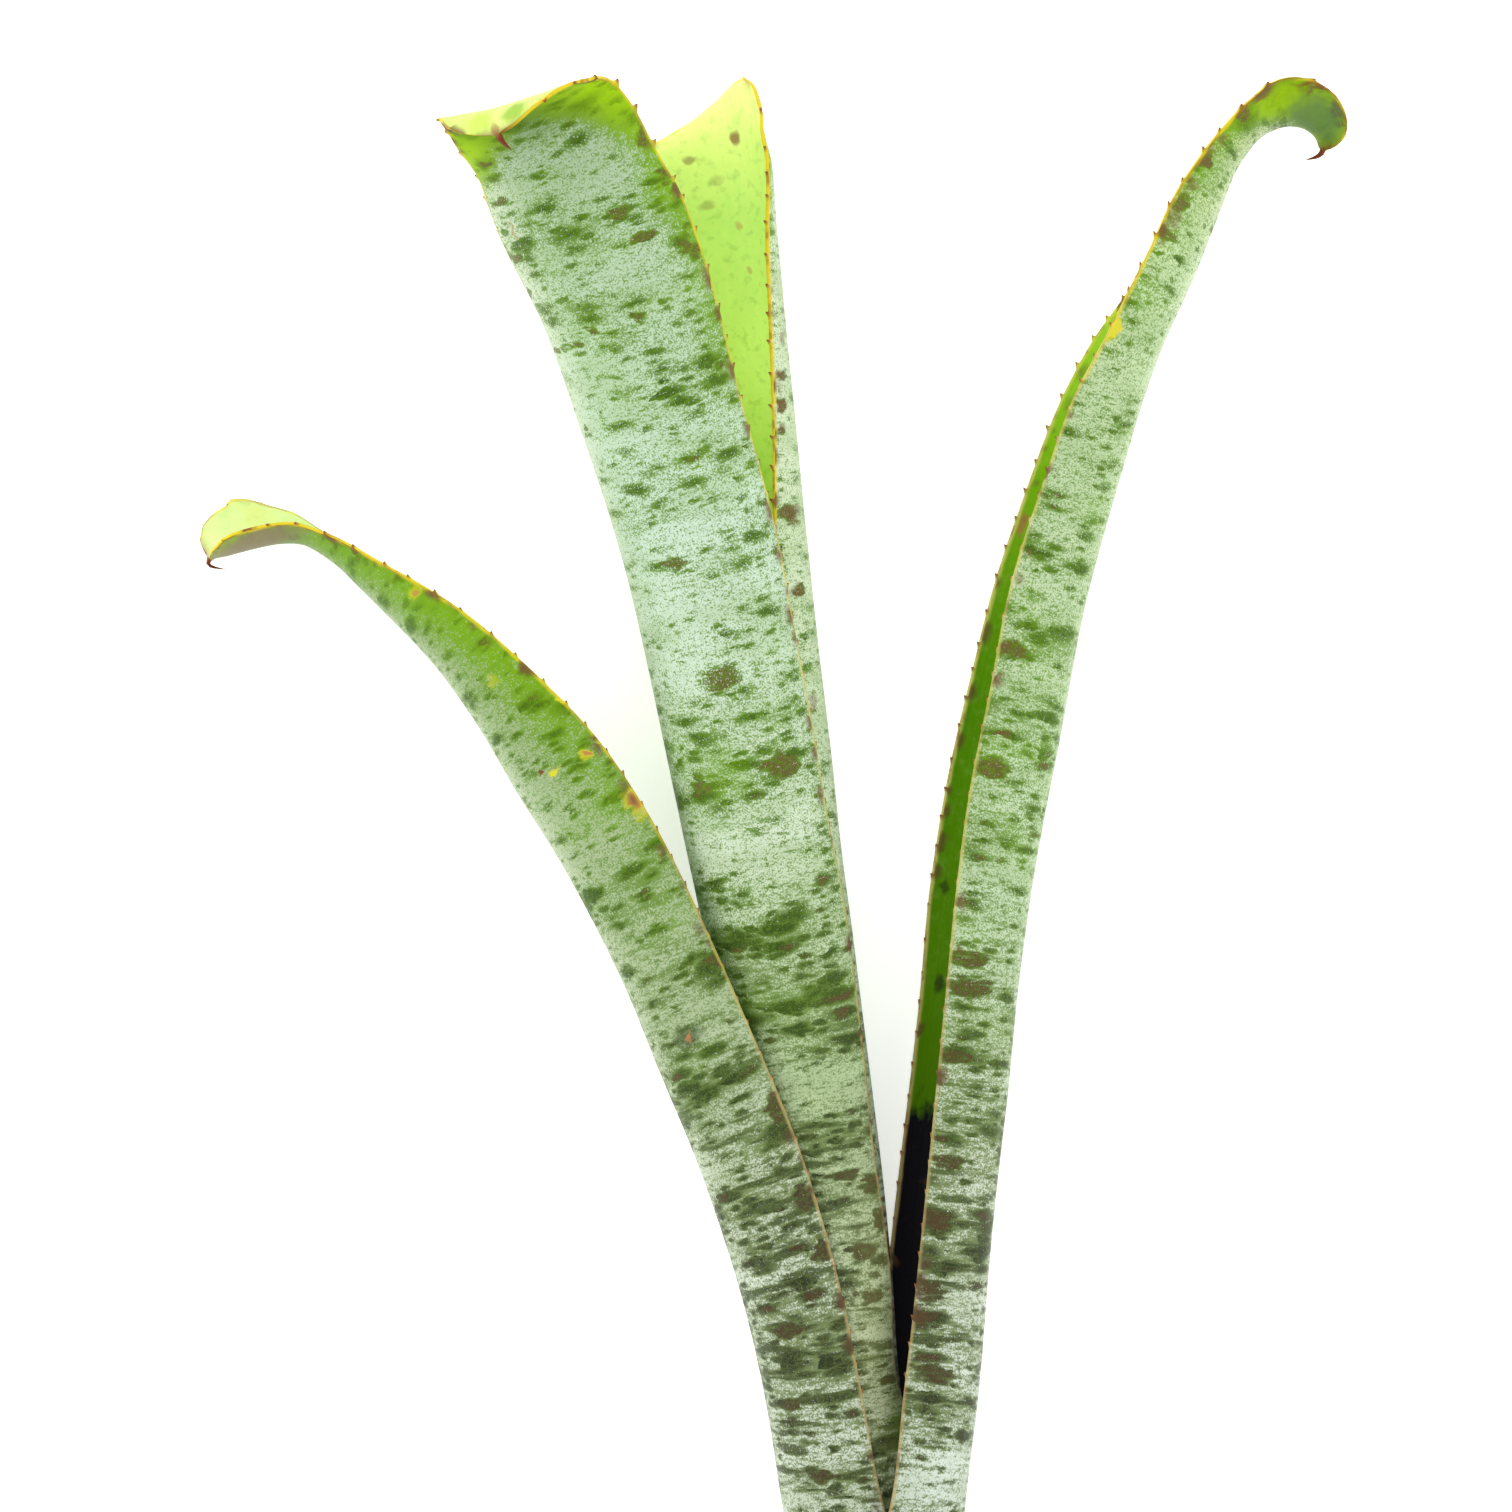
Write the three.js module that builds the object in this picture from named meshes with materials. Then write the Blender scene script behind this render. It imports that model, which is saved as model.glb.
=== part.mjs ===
import * as THREE from 'three';

// A tubular bromeliad lying on its back: four strap leaves rolled into one tube
// over a short stem. Millimetres. Leaf tips point along +Y and +Z is up.
// The origin is the flat spot under the tube where the plant rests.

const BLADE_THICKNESS = 1.3;
const MARGIN_THICKNESS = 0.9;
const FACE_SEGMENTS = 10;
const ROW_STEP = 12;
const TOOTH_PITCH = 18;
const TOOTH_HEIGHT = 1.7;
const TOOTH_HALF = 1.2;
const TOOTH_LEAN = 0.8;
const TOOTH_TIP_THICKNESS = 0.6;
const SPINE_LENGTH = 5.5;
const SPINE_WIDTH = 2.0;
const SPINE_THICKNESS = 1.2;
const TIP_STEPS = [
  30, 25, 21.5, 19.6, 19, 18.4, 16, 14, 12.5, 12, 11.5, 10, 8.6, 7.4, 6.5, 5.8, 5.3, 2.8,
];
const TIP_TEETH = [19, 12];

const TUBE_RADIUS = 23;
const TUBE_HEIGHT = TUBE_RADIUS * Math.cos(THREE.MathUtils.degToRad(11));
const SHEATH_STRAIGHT = 10;
const SHEATH_FREE = 75;
const REST_SNAP = 0.12;

const STEM_SEGMENTS = 24;
const STEM_PROFILE = [
  [0, -66], [8.6, -66], [9.8, -65], [10.6, -61.5], [10.1, -60.6], [11.2, -57], [10.7, -56],
  [11.9, -52.5], [11.5, -50], [11.3, -47], [10.7, -44], [9.6, -41], [6, -38.5], [0, -37.5],
];

// Each station is the keel point, the width round the outer face, the angle the
// section curls through and the way the keel faces: 0 is +X, 90 is up, 180 is -X.
const LEAVES = {
  leaf_right: {
    colour: 0x8fa789,
    rounding: 13,
    toothed: 120,
    stations: [
      [13.2, -50, 19.6, 51.8, 220, -13],
      [16.6, -44, 18.8, 65.3, 220, -13],
      [20.0, -35, 18.0, 78.7, 220, -13],
      [21.9, -25, 17.5, 86.4, 220, -13],
      [22.41, -16, 17.4, 88.31, 220, -13],
      [22.41, -8, 17.4, 88.31, 220, -13],
      [22.41, 9, 17.4, 88.31, 220, -13],
      [22.41, 12, 17.4, 88.31, 220, -13],
      [23.04, 20, 21.69, 78.99, 197, -3.5],
      [23.92, 35.1, 20.89, 71.98, 179, -5.5],
      [27.32, 64, 17.49, 69.69, 198, -9],
      [31.4, 111, 13.8, 64.4, 221, -12.5],
      [35.1, 142, 13.3, 64.4, 228, -12],
      [37.8, 168, 13.4, 64.2, 227, -11.5],
      [41.2, 194, 13.2, 66.1, 234, -12],
      [45.7, 220, 13.3, 67.4, 238, -11],
      [50.8, 246, 12.9, 66, 239, -10.5],
      [56, 272, 13.9, 63.6, 234, -7],
      [63.1, 298, 14.7, 59.8, 226, -5.5],
      [70.6, 324, 18.3, 57.6, 182, -1.5],
      [76.3, 340, 21.4, 54, 146, 0.5],
      [83.3, 355.6, 22, 50, 133, 4],
      [90.9, 374.8, 21.4, 44, 117, 7.5],
      [95.7, 385.6, 20.8, 39, 101, 6],
      [103.7, 394.8, 21.2, 35, 102, 9],
      [110.4, 397, 21.5, 33, 124, 18],
      [114.6, 395.9, 21.5, 32, 126, 21],
      [117.3, 393, 21, 30, 118, 20],
      [117, 389.6, 20.5, 22, 100, 18],
      [112.8, 387.4, 20, 20, 100, 18],
    ],
  },
  leaf_left: {
    colour: 0x97ad92,
    rounding: 11,
    toothed: 110,
    stations: [
      [-13.03, -47, 24.39, 49.54, 216, 172],
      [-15.48, -42, 24.78, 59.15, 216, 172],
      [-18.28, -34, 25.18, 69.65, 216, 172],
      [-20.18, -25, 25.38, 76.85, 216, 172],
      [-20.73, -16, 25.47, 78.86, 216, 172],
      [-20.63, 12, 25.46, 78.49, 216, 172],
      [-20.64, 20, 27.67, 73.42, 204, 167.2],
      [-23.14, 35, 27.65, 66.64, 190, 166],
      [-27.35, 64, 28.46, 60.26, 177, 161.5],
      [-32.7, 88.4, 29.8, 59.8, 182, 159],
      [-44.2, 122.4, 28.7, 64.2, 205, 163],
      [-56.4, 151.7, 28, 64.6, 212, 164],
      [-64, 169.7, 27.3, 64.4, 216, 165],
      [-81.3, 204, 26.5, 64.6, 210, 163.5],
      [-92, 221.2, 26, 63, 199, 163.5],
      [-104.2, 240.9, 25.2, 57.5, 154, 169],
      [-116.5, 257.4, 23.5, 50, 124, 172.5],
      [-131.3, 272.7, 20.5, 39, 90, 176],
      [-143.3, 283.5, 17.6, 31, 70, 182],
      [-149.2, 286.8, 16.5, 30, 68, 186],
      [-155.5, 287.4, 15.5, 34, 84, 197],
      [-162.2, 286.6, 14.9, 38, 100, 205],
      [-168.9, 285.4, 14.5, 41, 114, 212],
      [-172.9, 284.4, 14.3, 43, 116, 215],
      [-174.2, 282.5, 14.1, 40, 100, 215],
      [-169.8, 280.5, 13.7, 20, 80, 215],
    ],
  },
  leaf_centre: {
    colour: 0x93ab8f,
    rounding: 30,
    toothed: 115,
    stations: [
      [-4.73, -44, 34.34, 50.68, 230, 112],
      [-5.63, -38, 36.54, 60.28, 230, 112],
      [-6.43, -30, 38.54, 69.18, 230, 112],
      [-6.93, -22, 39.74, 74.38, 230, 112],
      [-7.12, -14, 40.12, 75.9, 230, 112],
      [-7.1, 12, 40.07, 75.66, 230, 112],
      [-8.91, 35, 38.99, 70.09, 226, 113],
      [-17.31, 63.9, 36.74, 56.7, 190, 120.1],
      [-20.5, 96.9, 34.7, 56.2, 180, 123],
      [-24.9, 125.8, 34.2, 56.5, 176, 124],
      [-29.3, 158.8, 35.3, 58.1, 176, 124],
      [-35.2, 188.7, 38.7, 63.6, 180, 122],
      [-40.1, 211.8, 40.8, 65.4, 185, 121.5],
      [-46, 248.4, 44.8, 65.5, 182, 117],
      [-52.5, 281.9, 48.7, 65.6, 175, 114.5],
      [-61.8, 316.7, 53.8, 64.6, 163, 111.5],
      [-69.5, 345, 58.9, 64.5, 149, 109.5],
      [-77.5, 367, 63, 62, 128, 107],
      [-82.8, 382, 66, 53, 100, 105],
      [-86.8, 389, 69, 49.5, 66, 110],
      [-90.2, 392.8, 73, 48.5, 36, 117],
      [-93.2, 394.2, 77.5, 51, 20, 121],
      [-95.2, 392.6, 81, 51, 16, 121],
      [-95.6, 389.6, 82.5, 47, 16, 117],
      [-94.6, 386.6, 82, 32, 30, 110],
      [-91.8, 383.5, 80.5, 20, 50, 104],
    ],
  },
  leaf_back: {
    colour: 0x9fbf5a,
    rounding: 18,
    toothed: 115,
    stations: [
      [5.86, -41, 12.55, 50.67, 250, -60],
      [6.96, -35, 10.55, 60.77, 250, -60],
      [7.86, -27, 8.95, 68.57, 250, -60],
      [8.46, -16, 7.95, 73.87, 250, -60],
      [8.45, 12, 7.98, 73.74, 250, -60],
      [5.63, 35, 9.66, 65.76, 248, -58],
      [0.5, 63.9, 8.3, 64.2, 247, -57.5],
      [-1.5, 97, 6.4, 64.9, 243, -54.5],
      [-4, 126.9, 5.6, 65.9, 239, -51.5],
      [-7.6, 160.9, 6, 67, 234, -48],
      [-12.8, 204, 6.7, 68, 226, -45],
      [-17.4, 246, 6.6, 67, 218, -44],
      [-20.7, 272, 6.7, 66, 210, -44],
      [-23.2, 292, 6.6, 66, 200, -45],
      [-27.0, 316, 6.8, 64.7, 190, -50],
      [-31.2, 344.7, 8.1, 64, 179, -53.3],
      [-35.3, 371, 10.2, 63.4, 165, -56.3],
      [-38.3, 384.7, 11.7, 62.8, 150, -60],
      [-40.3, 391.5, 12.4, 62.4, 142, -61],
      [-41.6, 396, 12, 60, 116, -62],
      [-42.8, 400, 9.4, 54, 88, -64],
      [-43.2, 401.9, 5.4, 47, 66, -67],
      [-43.1, 401.5, 1.6, 36, 60, -70],
    ],
  },
};

function between(stations, marks, distance) {
  const last = stations.length - 2;
  let i = 0;
  while (i < last && marks[i + 1] < distance) i += 1;
  const span = marks[i + 1] - marks[i];
  const t = (distance - marks[i]) / span;
  const slope = (k, part) => {
    const before = Math.max(k - 1, 0);
    const after = Math.min(k + 1, stations.length - 1);
    const rise = (a, b) => (stations[b][part] - stations[a][part]) / (marks[b] - marks[a]);
    if (before === k) return rise(k, after);
    if (after === k) return rise(before, k);
    const back = marks[k] - marks[before];
    const ahead = marks[after] - marks[k];
    return (rise(before, k) * ahead + rise(k, after) * back) / (back + ahead);
  };
  return stations[i].map((value, part) => {
    const end = stations[i + 1][part];
    const a = 2 * t ** 3 - 3 * t ** 2 + 1;
    const b = t ** 3 - 2 * t ** 2 + t;
    const c = 3 * t ** 2 - 2 * t ** 3;
    const d = t ** 3 - t ** 2;
    return value * a + slope(i, part) * span * b + end * c + slope(i + 1, part) * span * d;
  });
}

function stationMarks(stations) {
  const marks = [0];
  for (let i = 1; i < stations.length; i += 1) {
    const [x, y, z] = stations[i];
    const [px, py, pz] = stations[i - 1];
    marks.push(marks[i - 1] + Math.hypot(x - px, y - py, z - pz));
  }
  return marks;
}

function rowPlaces(length, toothed) {
  const places = [];
  const tipStart = length - TIP_STEPS[0];
  const toothCount = Math.floor((tipStart - toothed) / TOOTH_PITCH);
  const firstTooth = tipStart - toothCount * TOOTH_PITCH;
  const plainRows = Math.ceil(firstTooth / ROW_STEP);
  for (let i = 0; i < plainRows; i += 1) {
    places.push({ at: (firstTooth - TOOTH_HALF) * (i / plainRows), tooth: false });
  }
  for (let i = 0; i <= toothCount; i += 1) {
    const at = firstTooth + i * TOOTH_PITCH;
    places.push({ at: at - TOOTH_HALF, tooth: false });
    places.push({ at, tooth: true });
    places.push({ at: at + TOOTH_HALF, tooth: false });
    if (i < toothCount) places.push({ at: at + TOOTH_PITCH / 2, tooth: false });
  }
  TIP_STEPS.slice(1).forEach((left) => {
    places.push({ at: length - left, tooth: TIP_TEETH.includes(left) });
  });
  return places;
}

function smooth(low, high, value) {
  return THREE.MathUtils.smoothstep(value, low, high);
}

// The outer and inner face points of every row, from the sheath up to the tip.
function leafRows(leaf) {
  const { stations, rounding, toothed } = leaf;
  const marks = stationMarks(stations);
  const length = marks[marks.length - 1];
  const keelAt = (d) => new THREE.Vector3(...between(stations, marks, d).slice(0, 3));
  const side = new THREE.Vector3(1, 0, 0);
  const tubeAxis = new THREE.Vector3(0, 1, 0);
  const rows = [];
  rowPlaces(length, toothed).forEach(({ at, tooth }) => {
    const [x, y, z, fullWidth, fullCurl, facing] = between(stations, marks, at);
    const ahead = keelAt(Math.min(at + 0.5, length));
    const behind = keelAt(Math.max(at - 0.5, 0));
    const along = ahead.sub(behind).normalize();
    along.lerp(tubeAxis, 1 - smooth(SHEATH_STRAIGHT, SHEATH_FREE, y)).normalize();
    side.addScaledVector(along, -side.dot(along)).normalize();
    const up = new THREE.Vector3().crossVectors(side, along);
    const left = length - at;
    const blade = Math.max(left - SPINE_LENGTH, 0);
    const fill = blade < rounding ? Math.sqrt(1 - (1 - blade / rounding) ** 2) : 1;
    const spine = SPINE_WIDTH * Math.min(left / SPINE_LENGTH, 1);
    const width = Math.max(fullWidth * fill, spine);
    const curl = THREE.MathUtils.degToRad(fullCurl * (0.35 + 0.65 * fill));
    const radius = width / curl;
    const keel = new THREE.Vector3(x, y, z);
    const face = THREE.MathUtils.degToRad(facing);
    const out = (angle) => side.clone().multiplyScalar(Math.cos(angle))
      .addScaledVector(up, Math.sin(angle));
    const centre = keel.addScaledVector(out(face), -radius);
    const outer = [];
    const inner = [];
    for (let j = 0; j <= FACE_SEGMENTS; j += 1) {
      const across = (2 * j) / FACE_SEGMENTS - 1;
      const angle = face + (across * curl) / 2;
      const normal = out(angle);
      const edge = Math.abs(across) === 1;
      const bladeThickness = THREE.MathUtils.lerp(BLADE_THICKNESS, MARGIN_THICKNESS, across ** 2);
      const tipThickness = SPINE_THICKNESS * Math.min(left / SPINE_LENGTH, 1);
      let thickness = Math.min(bladeThickness, blade > 0 ? bladeThickness : tipThickness);
      const point = centre.clone().addScaledVector(normal, radius);
      if (tooth && edge) {
        point.addScaledVector(out(angle + (across * Math.PI) / 2), TOOTH_HEIGHT);
        point.addScaledVector(along, TOOTH_LEAN);
        thickness = TOOTH_TIP_THICKNESS;
      }
      const under = point.clone().addScaledVector(normal, -thickness);
      if (Math.abs(point.z) < REST_SNAP) point.z = 0;
      outer.push(point);
      inner.push(under);
    }
    rows.push({ outer, inner });
  });
  return { rows, apex: keelAt(length) };
}

// One closed body: both faces split alike, with the two margins, the sheath foot
// and the spine point between them.
function leafGeometry(leaf) {
  const { rows, apex } = leafRows(leaf);
  const columns = FACE_SEGMENTS + 1;
  const points = rows.flatMap(({ outer, inner }) => [...outer, ...inner]);
  const apexIndex = points.length;
  points.push(apex);
  const outer = (i, j) => i * 2 * columns + j;
  const inner = (i, j) => outer(i, j) + columns;
  const index = [];
  const quad = (a, b, c, d) => index.push(a, c, b, a, d, c);
  for (let i = 0; i < rows.length - 1; i += 1) {
    for (let j = 0; j < FACE_SEGMENTS; j += 1) {
      quad(outer(i, j), outer(i, j + 1), outer(i + 1, j + 1), outer(i + 1, j));
      index.push(inner(i, j), inner(i, j + 1), inner(i + 1, j + 1));
      index.push(inner(i, j), inner(i + 1, j + 1), inner(i + 1, j));
    }
    quad(inner(i, 0), outer(i, 0), outer(i + 1, 0), inner(i + 1, 0));
    const end = FACE_SEGMENTS;
    quad(outer(i, end), inner(i, end), inner(i + 1, end), outer(i + 1, end));
  }
  const top = rows.length - 1;
  for (let j = 0; j < FACE_SEGMENTS; j += 1) {
    quad(inner(0, j), inner(0, j + 1), outer(0, j + 1), outer(0, j));
    index.push(outer(top, j + 1), outer(top, j), apexIndex);
    index.push(inner(top, j), inner(top, j + 1), apexIndex);
  }
  index.push(outer(top, 0), inner(top, 0), apexIndex);
  index.push(inner(top, FACE_SEGMENTS), outer(top, FACE_SEGMENTS), apexIndex);
  const geometry = new THREE.BufferGeometry().setFromPoints(points);
  geometry.setIndex(index);
  geometry.computeVertexNormals();
  return geometry;
}

function leafMesh(name, leaf) {
  const material = new THREE.MeshStandardMaterial({
    color: leaf.colour,
    roughness: 0.6,
    metalness: 0,
  });
  const mesh = new THREE.Mesh(leafGeometry(leaf), material);
  mesh.name = name;
  return mesh;
}

function stemMesh() {
  const profile = STEM_PROFILE.map(([radius, y]) => new THREE.Vector2(radius, y));
  const geometry = new THREE.LatheGeometry(profile, STEM_SEGMENTS);
  geometry.translate(0, 0, TUBE_HEIGHT);
  const material = new THREE.MeshStandardMaterial({
    color: 0x7b5a38,
    roughness: 0.85,
    metalness: 0,
  });
  const mesh = new THREE.Mesh(geometry, material);
  mesh.name = 'stem';
  return mesh;
}

const plant = new THREE.Group();
plant.name = 'quesnelia_marmorata';
Object.entries(LEAVES).forEach(([name, leaf]) => plant.add(leafMesh(name, leaf)));
plant.add(stemMesh());

export default plant;
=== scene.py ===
import math
import random
import bmesh
import bpy
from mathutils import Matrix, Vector, noise


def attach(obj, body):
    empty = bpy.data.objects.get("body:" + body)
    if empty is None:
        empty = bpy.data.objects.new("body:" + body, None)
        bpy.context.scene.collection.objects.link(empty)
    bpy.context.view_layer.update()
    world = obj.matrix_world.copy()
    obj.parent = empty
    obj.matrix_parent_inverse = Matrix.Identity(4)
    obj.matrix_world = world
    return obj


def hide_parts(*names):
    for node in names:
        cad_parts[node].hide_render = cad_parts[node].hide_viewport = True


# A tubular bromeliad lying on its back: four rolled, toothed, banded leaves over a short stem.
# Metres in the scene. The leaf stations are in millimetres, and tips point along +Y.

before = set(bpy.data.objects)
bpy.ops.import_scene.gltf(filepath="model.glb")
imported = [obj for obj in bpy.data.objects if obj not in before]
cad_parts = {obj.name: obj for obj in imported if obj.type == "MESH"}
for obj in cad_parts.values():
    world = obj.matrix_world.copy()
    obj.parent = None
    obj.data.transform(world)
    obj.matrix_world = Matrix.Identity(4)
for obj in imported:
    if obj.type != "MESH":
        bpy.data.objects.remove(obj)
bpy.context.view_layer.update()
print('frame loaded with', len(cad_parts), 'nodes')


class Wire:  # a shader socket that can be used in sums
    def __init__(self, tree, socket=None):
        self.tree = tree
        self.socket = socket

    def node(self, kind, settings, inputs, output=0):
        made = self.tree.nodes.new(kind)
        for name, value in settings.items():
            if name == 'stops':
                fillRamp(made.color_ramp, value)
            else:
                setattr(made, name, value)
        for name, value in inputs.items():
            if isinstance(value, Wire):
                self.tree.links.new(value.socket, made.inputs[name])
            else:
                made.inputs[name].default_value = value
        if isinstance(output, tuple):
            return [Wire(self.tree, made.outputs[name]) for name in output]
        return Wire(self.tree, made.outputs[output])

    def sum(self, operation, first, second):
        return self.node('ShaderNodeMath', {'operation': operation}, {0: first, 1: second})

    def __add__(self, other):
        return self.sum('ADD', self, other)

    def __radd__(self, other):
        return self.sum('ADD', other, self)

    def __sub__(self, other):
        return self.sum('SUBTRACT', self, other)

    def __rsub__(self, other):
        return self.sum('SUBTRACT', other, self)

    def __mul__(self, other):
        return self.sum('MULTIPLY', self, other)

    def __rmul__(self, other):
        return self.sum('MULTIPLY', other, self)


def fillRamp(ramp, stops):
    while len(ramp.elements) < len(stops):
        ramp.elements.new(0.5)
    for element, (position, colour) in zip(ramp.elements, stops):
        element.position = position
        element.color = colour if isinstance(colour, tuple) else (colour, colour, colour, 1.0)


studioGain = 1.45  # how much brighter than its own colour a flat pale surface comes out


def paint(red, green, blue):  # a colour as it is seen here, 0 to 255, turned into the paint for it
    def light(part):
        part = part / 255
        return (part / 12.92 if part <= 0.04045 else ((part + 0.055) / 1.055) ** 2.4) / studioGain
    return (light(red), light(green), light(blue), 1.0)


def softStep(value, low, high):
    return value.node('ShaderNodeMapRange', {'interpolation_type': 'SMOOTHSTEP'},
                      {'Value': value, 'From Min': low, 'From Max': high})


def blend(mask, first, second):  # first where the mask is 0, second where it is 1
    return mask.node('ShaderNodeMix', {'data_type': 'RGBA'}, {0: mask, 6: first, 7: second}, 2)


def most(first, second):
    return first.sum('MAXIMUM', first, second)


def ramp(value, stops):
    return value.node('ShaderNodeValToRGB', {'stops': stops}, {'Fac': value}, 'Color')


pattern = {
    'seedStep': (3.7, 7.1),  # how far apart two seeds lie in the noise
    'roughness': 0.55,
    'pushAlong': 0.6,  # a pushed place moves less along the leaf than across it
    'ragged': (0.35, 0.5),  # size of the cloud that makes a fleck ragged, as shares of the fleck
    'raggedPush': 0.38,
    'fleckEdge': (-0.11, 0.19),
    'blotEdge': (0.45, 1.25),
}


def stretch(place, across, along, seed):  # one unit is across by along millimetres
    return place.node('ShaderNodeVectorMath', {'operation': 'MULTIPLY_ADD'},
                      {0: place, 1: (1 / across, 1 / along, 1.0),
                       2: (seed * pattern['seedStep'][0], seed * pattern['seedStep'][1], seed)})


def cloud(place, across, along, seed, detail=2.0, output='Fac'):
    return place.node('ShaderNodeTexNoise', {},
                      {'Vector': stretch(place, across, along, seed), 'Scale': 1.0,
                       'Detail': detail, 'Roughness': pattern['roughness']}, output)


def shift(place, across, along, seed, far):  # the place, pushed about by a cloud
    push = cloud(place, across, along, seed, 1.0, 'Color')
    middle = push.node('ShaderNodeVectorMath', {'operation': 'SUBTRACT'}, {0: push, 1: (0.5, 0.5, 0.5)})
    return place.node('ShaderNodeVectorMath', {'operation': 'MULTIPLY_ADD'},
                      {0: middle, 1: (far, far * pattern['pushAlong'], 0.0), 2: place})


def flecks(place, across, along, seed, least, spread, bias, soft=1.0):  # separate soft blots of many sizes
    wide, tall = pattern['ragged']
    moved = shift(place, across * wide, along * tall, seed, across * pattern['raggedPush'])
    near, tint = place.node('ShaderNodeTexVoronoi', {'voronoi_dimensions': '2D'},
                            {'Vector': stretch(moved, across, along, seed + 0.4), 'Scale': 1.0,
                             'Randomness': 1.0}, ('Distance', 'Color'))
    pick = tint.node('ShaderNodeSeparateColor', {}, {'Color': tint}, 'Red')
    inner, outer = pattern['fleckEdge']
    return softStep(pick * spread + least + bias - near, inner * soft, outer * soft)


def roundBlot(moved, blot):  # one listed blot: across, along, half width, half height
    across, along, wide, tall = blot
    near = moved.node('ShaderNodeVectorMath', {'operation': 'MULTIPLY_ADD'},
                      {0: moved, 1: (1 / wide, 1 / tall, 0), 2: (-across / wide, -along / tall, 0)})
    size = near.node('ShaderNodeVectorMath', {'operation': 'LENGTH'}, {0: near}, 'Value')
    return 1 - softStep(size, *pattern['blotEdge'])


def startMaterial(name):
    material = bpy.data.materials.new(name)
    material.use_nodes = True
    material.node_tree.nodes.clear()
    return material, Wire(material.node_tree)


def finishMaterial(start, colour, roughness, height, fixed, paintedGlow=None):
    bump = start.node('ShaderNodeBump', {}, {'Height': height, 'Strength': fixed['bump'],
                                             'Distance': fixed['depth']})
    sockets = {'Base Color': colour, 'Roughness': roughness, 'Normal': bump}
    # painted light: the surface shines a little in its own colour, standing in for light
    if paintedGlow:
        sockets['Emission Color'] = paintedGlow
    sockets.update(fixed['shader'])
    shader = start.node('ShaderNodeBsdfPrincipled', {}, sockets)
    start.node('ShaderNodeOutputMaterial', {}, {'Surface': shader}, ())


# A pair of colours is for low on the leaf and for high on it.
bloomSkin = {
    'young': paint(176, 222, 0),
    'leafy': paint(118, 168, 0),
    'moss': paint(146, 180, 0),
    'olive': paint(138, 142, 74),
    # painted shade below the right leaf's hooked tip
    'hookShade': paint(86, 122, 84),
    'green': (paint(82, 95, 54), paint(92, 130, 28)),
    'thin': (paint(112, 128, 80), paint(112, 148, 60)),
    'dark': (paint(48, 56, 32), paint(62, 92, 16)),
    'brown': (paint(84, 64, 42), paint(112, 80, 50)),
    'veiled': (paint(134, 152, 118), paint(142, 174, 126)),
    'mist': (paint(154, 168, 128), paint(162, 190, 132)),
    # painted rim light: the cream of the side towards the silhouette
    'rimLightCream': paint(230, 238, 214),
    'ripe': paint(222, 214, 40),
    'rim': (paint(176, 158, 104), paint(214, 208, 110)),
    'ripeRim': paint(232, 208, 44),
    'tooth': paint(150, 88, 44),
    'burn': paint(186, 124, 78),
    'tanAndShadow': paint(150, 132, 104),
    # partly the tip's own brown, partly painted shadow under its curled margin
    'spine': paint(122, 56, 36),
    'foot': paint(196, 186, 140),
    'sunk': paint(120, 96, 60),
    'lowToHigh': (140, 300),
    'burnt': 0.9,  # how brown the scorched places at the margin are
    'roughness': (0.46, 0.24),  # bare leaf, and what full bloom adds
    'relief': (0.5, 0.3, -0.4),  # veins, grain and ribs in the bump
    # Emission Strength makes the outer skins and rims glow in their own colour: painted light that lifts their
    # shade.
    'fixed': {'bump': 0.5, 'depth': 0.0004,
              'shader': {'Sheen Weight': 0.05, 'Sheen Roughness': 0.4, 'Specular IOR Level': 0.06,
                         'Emission Strength': 0.12}},
}


def skinReadings(start):  # place on the leaf, and how far it is from the margin and the tip
    place = start.node('ShaderNodeAttribute', {'attribute_name': 'leafPlace'}, {}, 'Vector')
    edge = start.node('ShaderNodeAttribute', {'attribute_name': 'leafEdge'}, {}, 'Vector')
    parts = edge.node('ShaderNodeSeparateXYZ', {}, {'Vector': edge}, ('X', 'Y', 'Z'))
    along = place.node('ShaderNodeSeparateXYZ', {}, {'Vector': place}, 'Y')
    return place, along, parts


def lowHigh(along, name):  # a colour that changes from the foot of the leaf to its upper half
    return blend(softStep(along, *bloomSkin['lowToHigh']), *bloomSkin[name])


def hueOf(along, name):
    hue = bloomSkin[name]
    return lowHigh(along, name) if isinstance(hue[0], tuple) else hue


rimLook = {
    'wander': (3, 9), 'ragged': 1.2, 'width': (0.7, 1.8),
    'burnt': (0.52, 0.66), 'burntShare': 0.6, 'red': (0.40, 0.56), 'redShare': 0.85,
    'scorch': (7, 6.5), 'scorchLeast': -0.25, 'scorchSpread': 0.75, 'scorchSoft': 1.2,
    'scorchReach': (0.5, 4.5), 'tooth': (0.3, 0.9),
}


def edgeColour(colour, place, along, parts, seed, look, burnt):
    margin, tip, tooth = parts
    wander = cloud(place, *rimLook['wander'], seed + 31)
    rim = 1 - softStep(margin + wander * rimLook['ragged'], *rimLook['width'])
    ripe = 1 - softStep(tip, *look['ripeRim'])
    hue = blend(ripe, lowHigh(along, 'rim'), bloomSkin['ripeRim'])
    hue = blend(softStep(wander, *rimLook['burnt']) * rimLook['burntShare'], hue, bloomSkin['burn'])
    red = (1 - softStep(tip, *look['redRim'])) * softStep(wander, *rimLook['red'])
    hue = blend(red * rimLook['redShare'], hue, bloomSkin['tooth'])
    colour = blend(rim * look['rimShow'], colour, hue)
    scorch = flecks(place, *rimLook['scorch'], seed + 37, rimLook['scorchLeast'], rimLook['scorchSpread'], 0.0,
                    rimLook['scorchSoft'])
    scorch = scorch * (1 - softStep(margin, *rimLook['scorchReach']))
    colour = blend(scorch * burnt, colour, lowHigh(along, 'brown'))
    colour = blend(softStep(tooth, *rimLook['tooth']), colour, bloomSkin['tooth'])
    return blend(1 - softStep(tip, *look['spineTo']), colour, bloomSkin['spine'])


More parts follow.
